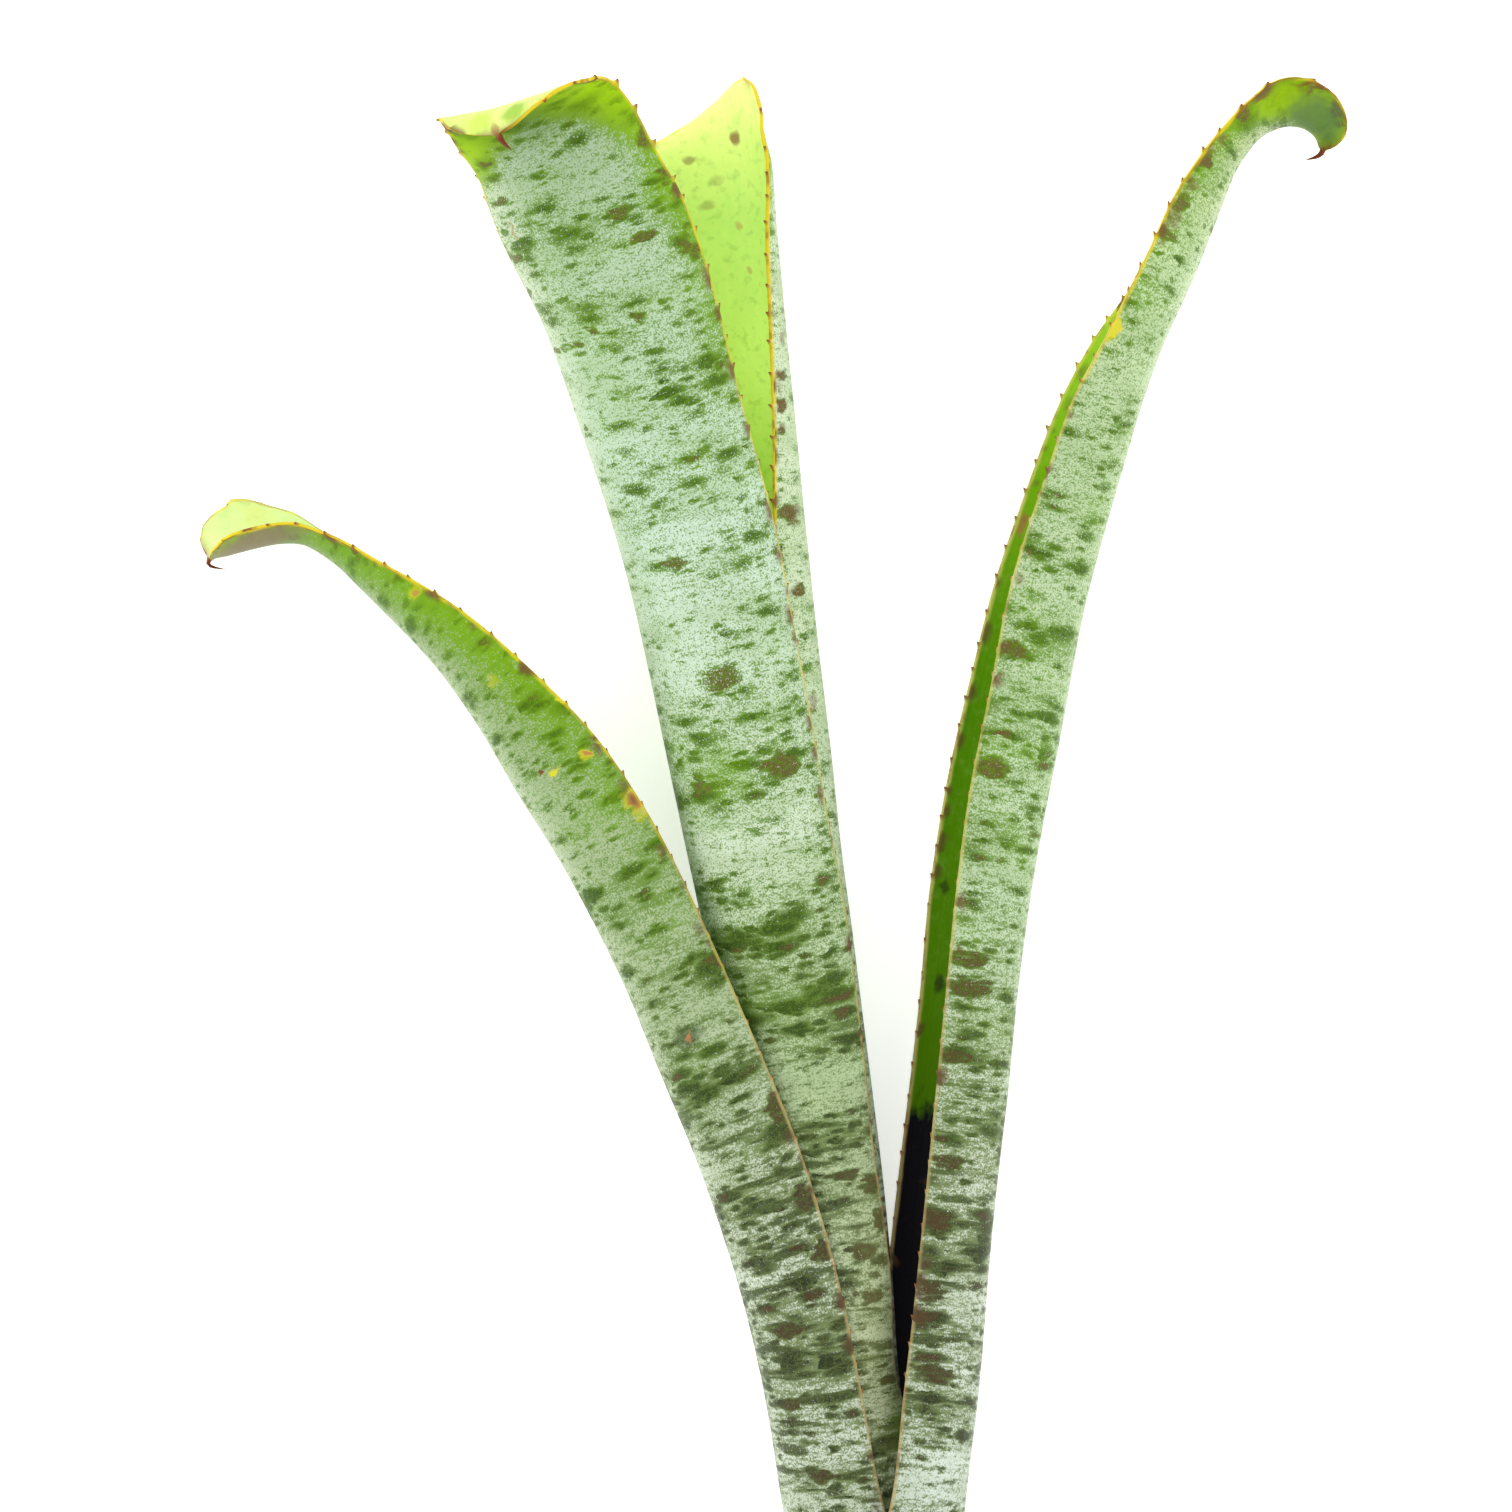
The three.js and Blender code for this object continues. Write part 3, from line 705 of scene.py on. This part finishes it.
# Each station: keel x, y, z, width round the outer face, angle curled through, way the keel faces.
rightLeaf = {
    'seed': 3, 'rounding': 15, 'toothed': 118, 'wave': 0.5, 'waveLength': 16, 'spineTo': (4.5, 8.0),
    'redRim': (34, 66), 'crestStreak': 0.4, 'lastTeeth': 0.5,
    'bloom': 0.0, 'spotBias': 0.02, 'rust': 0.13, 'rimShow': 0.7, 'ripeRim': (60, 130), 'glowSide': 1,
    'rimLightSide': (-14, 4), 'rimLightFade': 0.2,
    'coat': [(0.15, 0.50), (0.22, 0.42), (0.30, 0.46), (0.36, 0.34), (0.44, 0.40), (0.50, 0.46), (0.56, 0.48),
             (0.66, 0.44), (0.76, 0.50), (0.86, 0.46), (0.95, 0.50)],
    'pale': [(0.15, paint(206, 220, 206)), (0.36, paint(214, 222, 204)), (0.50, paint(196, 216, 180)),
             (0.72, paint(192, 212, 170)), (0.86, paint(196, 218, 168)), (0.96, paint(190, 206, 130))],
    'teeth': (0.25, 0.55), 'tipTeeth': (0.75, 1.2), 'shadeEnd': 0.42,
    'glowWide': (3, 15), 'glowLong': (20, 120), 'sunny': 0.12, 'glowTip': (14, 40, 0.9), 'crestHue': 'moss',
    'blots': [(29, 280, 6, 3.2), (28, 312, 7, 2.6), (27, 231, 7, 3.4), (26, 224, 8, 3.2), (27, 178, 7, 2.8),
              (29, 144, 4, 3.6), (27, 206, 6, 2.2), (19, 444, 3.4, 2.6), (20.6, 432, 3.8, 2.8),
              (22, 423, 5, 2.2), (27, 122, 7, 2.8)],
    'marks': [((26.6, 398, 1.6, 2.6), 'ripe', 0.9), ((21, 463, 1.6, 1.6), 'spine', 0.7),
              # the blot at 472 is painted shade below the hooked tip
              ((19, 469, 1.4, 1.6), 'spine', 0.7), ((4, 472, 9, 6), 'hookShade', 0.6),
              ((12, 464, 5, 5), 'young', 0.35),
              ((14.5, 471, 1.3, 3.4), 'spine', 0.75), ((12, 476, 1.6, 1.6), 'spine', 0.6),
              ((-2, 457, 0.7, 4.0), 'dark', 0.9), ((-3, 463, 2.0, 1.0), 'ripe', 0.9),
              ((14, 473, 1.4, 1.2), 'burn', 0.9), ((19, 445, 2.2, 2.8), 'brown', 0.55),
              ((20, 437, 2.4, 2.6), 'brown', 0.5), ((21, 428, 3, 3), 'brown', 0.5)],
    'specks': 0.35, 'insideMottle': 0.10, 'insideBurnt': 0.8,
    'insideMarks': [((-29, 248, 1.6, 2.2), 'dark', 0.9), ((-27, 223, 1.8, 2.6), 'dark', 0.95),
                    ((-28.7, 343, 1.4, 3.4), 'burn', 0.8), ((-26.6, 121, 0.9, 0.9), 'rim', 0.8)],
    # painted shade: the inside of this leaf is nearly black below about 0.4 of its length
    'inside': [(0.0, paint(20, 20, 24)), (0.384, paint(22, 20, 26)), (0.400, paint(82, 128, 4)),
               (0.62, paint(96, 156, 6)), (0.80, paint(150, 204, 24)), (1.0, paint(180, 210, 80))],
    'stations': [
        [13.2, -50, 19.6, 51.8, 220, -13], [16.6, -44, 18.8, 65.3, 220, -13],
        [20.0, -35, 18.0, 78.7, 220, -13], [21.9, -25, 17.5, 86.4, 220, -13],
        [22.41, -16, 17.4, 88.31, 220, -13], [22.41, -8, 17.4, 88.31, 220, -13],
        [22.41, 9, 17.4, 88.31, 220, -13], [22.41, 12, 17.4, 88.31, 220, -13],
        [23.04, 20, 21.69, 78.99, 197, -3.5], [23.92, 35.1, 20.89, 71.98, 179, -5.5],
        [27.32, 64, 17.49, 69.69, 198, -9], [31.4, 111, 13.8, 64.4, 221, -12.5],
        [35.1, 142, 13.3, 64.4, 228, -12], [37.8, 168, 13.4, 64.2, 227, -11.5],
        [41.2, 194, 13.2, 66.1, 234, -12], [45.7, 220, 13.3, 67.4, 238, -11],
        [50.8, 246, 12.9, 66, 239, -10.5], [56, 272, 13.9, 63.6, 234, -7],
        [63.1, 298, 14.7, 59.8, 226, -5.5], [70.6, 324, 18.3, 57.6, 182, -1.5],
        [76.3, 340, 21.4, 54, 146, 0.5], [83.3, 355.6, 22, 50, 133, 4],
        [90.9, 374.8, 21.4, 44, 117, 7.5], [95.7, 385.6, 20.8, 39, 101, 6],
        [103.7, 394.8, 21.2, 35, 102, 9], [110.4, 397, 21.5, 33, 124, 18],
        [114.6, 395.9, 21.5, 32, 126, 21], [117.3, 393, 21, 30, 118, 20],
        [117, 389.6, 20.5, 22, 100, 18], [112.8, 387.4, 20, 20, 100, 18],
    ],
}
makeLeaf('rightLeaf', 'leaf_right', rightLeaf)

leftLeaf = {
    'seed': 8, 'rounding': 11, 'toothed': 110, 'wave': 0.5, 'waveLength': 15, 'spineTo': (4.5, 8.0),
    'redRim': (36, 70), 'crestStreak': 0.3, 'lastTeeth': 0.3,
    'bloom': -0.02, 'spotBias': 0.06, 'rust': 0.08, 'rimShow': 0.75, 'ripeRim': (130, 200), 'glowSide': -1,
    'rimLightSide': (-12, 8), 'rimLightFade': 0.4,
    'coat': [(0.18, 0.58), (0.24, 0.52), (0.29, 0.38), (0.36, 0.48), (0.42, 0.40), (0.48, 0.46), (0.55, 0.54),
             (0.60, 0.42), (0.68, 0.56), (0.78, 0.50), (0.90, 0.46)],
    'pale': [(0.2, paint(210, 221, 203)), (0.38, paint(212, 222, 202)), (0.52, paint(178, 194, 156)),
             (0.68, paint(168, 186, 144)), (0.86, paint(154, 172, 124)), (0.95, paint(156, 162, 120))],
    'teeth': (0.4, 0.7), 'tipTeeth': (0.45, 0.8), 'shadeEnd': 0.3,
    'glowWide': (6, 26), 'glowLong': (80, 190), 'sunny': 0.30, 'glowTip': (4, 30, 1.6), 'crestHue': 'young',
    'blots': [(-30.5, 183, 4, 6), (-10, 112, 5, 2.5), (-17, 94, 6, 2), (-28, 160, 3, 5),
              (-28.3, 147, 3.6, 4), (-14, 131, 7, 2.6)],
    'marks': [((-16, 209, 4.6, 3.4), 'dark', 0.7), ((-16, 209, 0.8, 1.5), 'burn', 0.9),
              ((-31, 267, 3.4, 4.4), 'ripe', 0.7), ((-30.8, 267, 1.9, 2.8), 'burn', 0.9),
              ((-26.3, 284, 1.7, 1.6), 'ripe', 0.8), ((-26.3, 284, 1.0, 0.9), 'burn', 0.9),
              ((-16.8, 284, 1.7, 1.4), 'ripe', 0.9), ((-13.6, 286, 0.8, 0.7), 'spine', 0.9),
              ((-19.3, 339, 2.2, 1.8), 'ripe', 0.5), ((-19.3, 339, 1.2, 1.0), 'burn', 0.7),
              ((-19, 311, 2, 1.6), 'ripe', 0.3), ((-30.2, 300, 0.9, 5), 'ripe', 0.8),
              # the last blot is partly the tip's own brown and partly painted shadow under the curled margin
              ((-11, 385, 9, 15), 'tanAndShadow', 0.85)],
    'specks': 0.15, 'insideMottle': 0.2, 'insideBurnt': 0.2,
    'insideMarks': [((13.6, 386, 6, 4), 'rim', 0.4)],
    'inside': [(0.0, paint(40, 30, 34)), (0.3, paint(60, 92, 24)), (0.7, paint(120, 176, 30)),
               (0.9, paint(196, 234, 140)), (0.985, paint(214, 240, 150)), (1.0, paint(240, 226, 120))],
    'stations': [
        [-13.03, -47, 24.39, 49.54, 216, 172], [-15.48, -42, 24.78, 59.15, 216, 172],
        [-18.28, -34, 25.18, 69.65, 216, 172], [-20.18, -25, 25.38, 76.85, 216, 172],
        [-20.73, -16, 25.47, 78.86, 216, 172], [-20.63, 12, 25.46, 78.49, 216, 172],
        [-20.64, 20, 27.67, 73.42, 204, 167.2], [-23.14, 35, 27.65, 66.64, 190, 166],
        [-27.35, 64, 28.46, 60.26, 177, 161.5], [-32.7, 88.4, 29.8, 59.8, 182, 159],
        [-44.2, 122.4, 28.7, 64.2, 205, 163], [-56.4, 151.7, 28, 64.6, 212, 164],
        [-64, 169.7, 27.3, 64.4, 216, 165], [-81.3, 204, 26.5, 64.6, 210, 163.5],
        [-92, 221.2, 26, 63, 199, 163.5], [-104.2, 240.9, 25.2, 57.5, 154, 169],
        [-116.5, 257.4, 23.5, 50, 124, 172.5], [-131.3, 272.7, 20.5, 39, 90, 176],
        [-143.3, 283.5, 17.6, 31, 70, 182], [-149.2, 286.8, 16.5, 30, 68, 186],
        [-155.5, 287.4, 15.5, 34, 84, 197], [-162.2, 286.6, 14.9, 38, 100, 205],
        [-168.9, 285.4, 14.5, 41, 114, 212], [-172.9, 284.4, 14.3, 43, 116, 215],
        [-174.2, 282.5, 14.1, 40, 100, 215], [-169.8, 280.5, 13.7, 20, 80, 215],
    ],
}
makeLeaf('leftLeaf', 'leaf_left', leftLeaf)

centreLeaf = {
    'seed': 14, 'rounding': 23, 'toothed': 115, 'wave': 1.0, 'waveLength': 11, 'spineTo': (4.5, 8.0),
    'redRim': (16, 38), 'crestStreak': 0.12, 'lastTeeth': 0.3,
    'bloom': 0.0, 'spotBias': 0.03, 'rust': 0.08, 'rimShow': 0.85, 'ripeRim': (120, 240), 'glowSide': -1,
    'rimLightSide': (8, 30), 'rimLightFade': 0.5,
    'coat': [(0.18, 0.58), (0.30, 0.46), (0.38, 0.40), (0.46, 0.38), (0.51, 0.44), (0.55, 0.54), (0.585, 0.40),
             (0.64, 0.58), (0.70, 0.68), (0.74, 0.58), (0.79, 0.62), (0.83, 0.52), (0.88, 0.48), (0.93, 0.56)],
    'pale': [(0.2, paint(198, 208, 172)), (0.44, paint(180, 202, 154)), (0.55, paint(210, 226, 198)),
             (0.72, paint(204, 226, 204)), (0.82, paint(190, 214, 182)), (0.92, paint(178, 200, 168))],
    'teeth': (0.5, 0.8), 'tipTeeth': (1.0, 1.6), 'shadeEnd': 0.3,
    'glowWide': (3, 20), 'glowLong': (40, 150), 'sunny': 0.34, 'glowTip': (21, 48, 0.8), 'crestHue': 'young',
    'blots': [(-7, 300, 6.5, 5.4), (-20, 275, 7, 5), (-12.5, 420, 4, 2.6), (-16, 412, 5, 2.2),
              (-26, 435, 3.4, 3.0), (-28.5, 427, 4.4, 3), (-30, 404, 3, 2.6), (19.7, 432, 4.5, 1.8),
              (24, 417, 5, 2), (4, 272, 5, 2.4), (0, 331, 6, 2.2), (-8, 394, 3, 1.8),
              (-25.3, 163, 4, 3), (-26.2, 154, 3, 4.5),
              (-17, 167, 6, 2), (-19.7, 147, 5, 3), (-19.6, 136, 5, 2), (-23.4, 113, 4, 2),
              (-27, 424, 3, 2.4), (-26.5, 406, 3, 2.2), (27, 407, 3, 2.4),
              (22.6, 390, 4.2, 1.6), (10.8, 391, 2.6, 1.5), (5.4, 394, 2.4, 1.6), (19.4, 369, 1.8, 1.6)],
    'marks': [((19.3, 424, 0.9, 2.6), 'burn', 0.5), ((-26, 120, 12, 55), 'olive', 0.2),
              ((-28, 92, 8, 20), 'leafy', 0.35), ((-4, 275, 8, 8), 'leafy', 0.3),
              # this blot is painted shadow cast by the folded tip
              ((2, 452, 16, 9), 'green', 0.3)],
    'specks': 0.1, 'insideMottle': 0.35, 'insideBurnt': 0.8,
    'insideMarks': [((-6.4, 465, 4.2, 2.6), 'leafy', 0.65), ((5, 465, 5, 2.6), 'young', 0.45),
                    ((0, 467.6, 1.1, 1.8), 'tooth', 0.55)],
    'inside': [(0.0, paint(40, 34, 30)), (0.3, paint(70, 110, 20)), (0.7, paint(140, 196, 30)),
               (0.93, paint(180, 220, 80)), (1.0, paint(224, 240, 140))],
    'stations': [
        [-4.73, -44, 34.34, 50.68, 230, 112], [-5.63, -38, 36.54, 60.28, 230, 112],
        [-6.43, -30, 38.54, 69.18, 230, 112], [-6.93, -22, 39.74, 74.38, 230, 112],
        [-7.12, -14, 40.12, 75.9, 230, 112], [-7.1, 12, 40.07, 75.66, 230, 112],
        [-8.91, 35, 38.99, 70.09, 226, 113], [-17.31, 63.9, 36.74, 56.7, 190, 120.1],
        [-20.5, 96.9, 34.7, 56.2, 180, 123], [-24.9, 125.8, 34.2, 56.5, 176, 124],
        [-29.3, 158.8, 35.3, 58.1, 176, 124], [-35.2, 188.7, 38.7, 63.6, 180, 122],
        [-40.1, 211.8, 40.8, 65.4, 185, 121.5], [-46, 248.4, 44.8, 65.5, 182, 117],
        [-52.5, 281.9, 48.7, 65.6, 175, 114.5], [-61.8, 316.7, 53.8, 64.6, 163, 111.5],
        [-69.5, 345, 58.9, 64.5, 149, 109.5], [-77.5, 367, 63, 62, 128, 107],
        [-82.8, 382, 66, 53, 100, 105], [-86.8, 389, 69, 49.5, 66, 110],
        [-90.2, 392.8, 73, 48.5, 36, 117], [-93.2, 394.2, 77.5, 51, 20, 121],
        [-95.2, 392.6, 81, 51, 16, 121], [-95.6, 389.6, 82.5, 47, 16, 117],
        [-94.6, 386.6, 82, 32, 30, 110], [-91.8, 383.5, 80.5, 20, 50, 104],
    ],
}
makeLeaf('centreLeaf', 'leaf_centre', centreLeaf)

backLeaf = {
    'seed': 21, 'rounding': 23, 'toothed': 115, 'wave': 0.5, 'waveLength': 14, 'spineTo': (2.0, 4.5),
    'redRim': (1, 3), 'crestStreak': 0.2, 'lastTeeth': 0.1,
    'bloom': 0.02, 'spotBias': 0.0, 'rust': 0.12, 'rimShow': 0.85, 'ripeRim': (200, 300), 'glowSide': 1,
    'rimLightSide': (-6, 10), 'rimLightFade': 0.5,
    'coat': [(0.2, 0.45), (0.5, 0.58), (0.8, 0.64), (0.95, 0.6)],
    'pale': [(0.2, paint(184, 196, 170)), (0.5, paint(214, 230, 196)), (0.9, paint(218, 232, 198))],
    'teeth': (0.6, 0.9), 'tipTeeth': (1.15, 1.75), 'shadeEnd': 0.3,
    'glowWide': (3, 12), 'glowLong': (10, 60), 'sunny': 0.1, 'glowTip': (8, 34, 0.5), 'crestHue': 'young',
    'blots': [(26.8, 375, 4, 2.2), (29, 367, 3, 2), (29, 360, 3, 1.8), (27.5, 338, 4.4, 3.4),
              (25, 318, 4, 1.8)],
    'marks': [((28.6, 375, 3, 2.2), 'brown', 0.7), ((28.8, 367, 3, 2), 'brown', 0.7),
              ((28.8, 361, 2.6, 1.7), 'brown', 0.6), ((26, 338, 4.2, 3.2), 'brown', 0.6),
              ((26.4, 318, 3.4, 2), 'brown', 0.6), ((24, 289, 3, 2.4), 'brown', 0.5),
              ((26, 385, 2.4, 2), 'brown', 0.5)],
    'specks': 0.15, 'insideMottle': 0.32, 'insideBurnt': 0.4,
    'insideMarks': [((6.7, 438, 2.2, 1.8), 'spine', 0.8), ((-9, 436, 1.8, 1.4), 'brown', 0.6),
                    ((-3, 429, 2.4, 1.6), 'brown', 0.25), ((-7.4, 423, 3, 1.4), 'brown', 0.4),
                    ((1.1, 416, 1.3, 1.2), 'burn', 0.5), ((2.1, 404, 1.2, 1.2), 'burn', 0.5)],
    'inside': [(0.0, paint(40, 36, 26)), (0.3, paint(80, 130, 10)), (0.72, paint(166, 218, 0)),
               (0.83, paint(220, 255, 120)), (0.92, paint(192, 234, 112)), (1.0, paint(238, 250, 140))],
    'stations': [
        [5.86, -41, 12.55, 50.67, 250, -60], [6.96, -35, 10.55, 60.77, 250, -60],
        [7.86, -27, 8.95, 68.57, 250, -60], [8.46, -16, 7.95, 73.87, 250, -60],
        [8.45, 12, 7.98, 73.74, 250, -60], [5.63, 35, 9.66, 65.76, 248, -58],
        [0.5, 63.9, 8.3, 64.2, 247, -57.5], [-1.5, 97, 6.4, 64.9, 243, -54.5],
        [-4, 126.9, 5.6, 65.9, 239, -51.5], [-7.6, 160.9, 6, 67, 234, -48],
        [-12.8, 204, 6.7, 68, 226, -45], [-17.4, 246, 6.6, 67, 218, -44],
        [-20.7, 272, 6.7, 66, 210, -44], [-23.2, 292, 6.6, 66, 200, -45],
        [-27.0, 316, 6.8, 64.7, 190, -50], [-31.2, 344.7, 8.1, 64, 179, -53.3],
        [-35.3, 371, 10.2, 63.4, 165, -56.3], [-38.3, 384.7, 11.7, 62.8, 150, -60],
        [-40.3, 391.5, 12.4, 62.4, 142, -61], [-41.6, 396, 12, 60, 116, -62],
        [-42.8, 400, 9.4, 54, 88, -64], [-43.2, 401.9, 5.4, 47, 66, -67],
        [-43.1, 401.5, 1.6, 36, 60, -70],
    ],
}
makeLeaf('backLeaf', 'leaf_back', backLeaf)


stem = {
    'height': 22.577, 'turns': 64,
    'profile': [
        (0.4, -65.2), (3.5, -65.6), (7.4, -66), (8.8, -65.9), (9.8, -65), (10.3, -63.4), (10.6, -61.5),
        (10.0, -60.8), (10.3, -60), (11.0, -58.4), (11.2, -57), (10.6, -56.2), (10.9, -55), (11.6, -53.6),
        (11.9, -52.5), (11.3, -51.6), (11.5, -50), (11.1, -49), (11.3, -47), (10.6, -46.2), (10.7, -44),
        (9.6, -41), (8.0, -39.6), (6, -38.5), (3, -37.7), (0.4, -37.5),
    ],
    'bark': paint(124, 92, 58), 'scar': paint(82, 58, 38),
    'cut': paint(206, 190, 140), 'husk': paint(158, 124, 84),
    'rough': (2.5, 0.9, 4, 3.0), 'fibre': (0.7, 7, 6, 2.0), 'roughness': (0.72, 0.2),
    'barkEdge': (0.4, 0.62), 'huskEdge': (0.52, 0.68), 'huskShare': 0.5,
    'cutAt': (-65.5, -65.0), 'cutRagged': 0.7,
    'wear': (0.02, 0.05), 'wearSize': (260, 420, 260),  # worn, uneven bark
    'fixed': {'bump': 0.8, 'depth': 0.0006, 'shader': {'Specular IOR Level': 0.2}},
}


def barkSkin():
    material, start = startMaterial('stemBark')
    place = start.node('ShaderNodeTexCoord', {}, {}, 'Object')
    where = start.node('ShaderNodeVectorMath', {'operation': 'SCALE'}, {0: place, 'Scale': 1000.0})
    along = where.node('ShaderNodeSeparateXYZ', {}, {'Vector': where}, 'Y')
    rough = cloud(where, *stem['rough'])
    fibre = cloud(where, *stem['fibre'])
    colour = blend(softStep(rough, *stem['barkEdge']), stem['scar'], stem['bark'])
    colour = blend(softStep(fibre, *stem['huskEdge']) * stem['huskShare'], colour, stem['husk'])
    sawn = 1 - softStep(along + rough * stem['cutRagged'], *stem['cutAt'])
    colour = blend(sawn, colour, stem['cut'])
    plain, fibrous = stem['roughness']
    finishMaterial(start, colour, plain + fibre * fibrous, rough + fibre, stem['fixed'])
    return material


def makeStem():
    lathe = bmesh.new()
    verts = [lathe.verts.new((r / 1000, y / 1000, stem['height'] / 1000)) for r, y in stem['profile']]
    edges = [lathe.edges.new(pair) for pair in zip(verts, verts[1:])]
    bmesh.ops.spin(lathe, geom=verts + edges, cent=(0, 0, stem['height'] / 1000), axis=(0, 1, 0),
                   angle=2 * math.pi, steps=stem['turns'], use_merge=True)
    ends = [edge for edge in lathe.edges if edge.is_boundary]
    bmesh.ops.holes_fill(lathe, edges=ends, sides=0)
    least, byNoise = stem['wear']
    wide, tall, deep = stem['wearSize']
    for vert in lathe.verts:
        spoke = Vector((vert.co.x, 0, vert.co.z - stem['height'] / 1000))
        spot = Vector((vert.co.x * wide, vert.co.y * tall, vert.co.z * deep))
        vert.co -= spoke * (least + byNoise * abs(noise.noise(spot)))
    bmesh.ops.recalc_face_normals(lathe, faces=lathe.faces)
    piece, mesh = meshPiece('leafyStem', lathe)
    mesh.materials.append(barkSkin())
    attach(piece, 'root')
    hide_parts('stem')
    print('stem made')


makeStem()


studio = {
    'floor': (0.93, 0.93, 0.93, 1.0), 'floorSize': 6.0, 'world': (1.0, 1.0, 1.0, 1.0), 'worldStrength': 0.9,
    'lights': [
        ('keyLight', (-0.7, 0.9, 1.5), 1.4, 9.0),
        ('fillLight', (0.9, 0.3, 1.3), 1.4, 6.0),
        ('tipLight', (0.0, 1.6, 0.9), 1.0, 4.0),
        ('leftLight', (-1.3, 0.2, 0.42), 0.7, 7.5),
        ('rightLight', (1.3, 0.2, 0.42), 0.7, 6.0),
    ],
    'aim': (-0.03, 0.2, 0.02),
    'eye': (-0.03068, 0.23156, 1.5), 'lens': 134.6, 'sensor': 36.0, 'seesTo': 20.0,
    'grain': 900.0, 'grainShare': 0.02, 'grainHue': (0.8, 0.8, 0.8, 1.0),
    'paper': {'Roughness': 0.9, 'Specular IOR Level': 0.1, 'Emission Color': (1, 1, 1, 1),
              'Emission Strength': 0.42},
}


def makeFloor():
    sheet = bmesh.new()
    bmesh.ops.create_grid(sheet, x_segments=1, y_segments=1, size=studio['floorSize'] / 2)
    floor, mesh = meshPiece('paleFloor', sheet, False)
    material, start = startMaterial('floorPaper')
    place = start.node('ShaderNodeTexCoord', {}, {}, 'Object')
    grain = {'Vector': place, 'Scale': studio['grain'], 'Detail': 2.0}
    speck = start.node('ShaderNodeTexNoise', {}, grain, 'Fac')
    colour = blend(speck * studio['grainShare'], studio['floor'], studio['grainHue'])
    shader = start.node('ShaderNodeBsdfPrincipled', {}, {'Base Color': colour, **studio['paper']})
    start.node('ShaderNodeOutputMaterial', {}, {'Surface': shader}, ())
    mesh.materials.append(material)


makeFloor()
world = bpy.data.worlds.new('softRoom')
world.use_nodes = True
room = world.node_tree.nodes['Background']
room.inputs['Color'].default_value = studio['world']
room.inputs['Strength'].default_value = studio['worldStrength']
bpy.context.scene.world = world
for name, spot, size, power in studio['lights']:
    lamp = bpy.data.lights.new(name, 'AREA')
    lamp.shape = 'SQUARE'
    lamp.size = size
    lamp.energy = power
    lampPiece = bpy.data.objects.new(name, lamp)
    lampPiece.location = spot
    lampPiece.rotation_euler = (Vector(studio['aim']) - Vector(spot)).to_track_quat('-Z', 'Y').to_euler()
    bpy.context.scene.collection.objects.link(lampPiece)

lensData = bpy.data.cameras.new('photoView')
lensData.sensor_width = studio['sensor']
lensData.lens = studio['lens']
lensData.clip_end = studio['seesTo']
eye = bpy.data.objects.new('photoView', lensData)
eye.location = studio['eye']
bpy.context.scene.collection.objects.link(eye)
bpy.context.scene.camera = eye
bpy.context.scene.view_settings.view_transform = 'Standard'
print('floor, light and camera set')
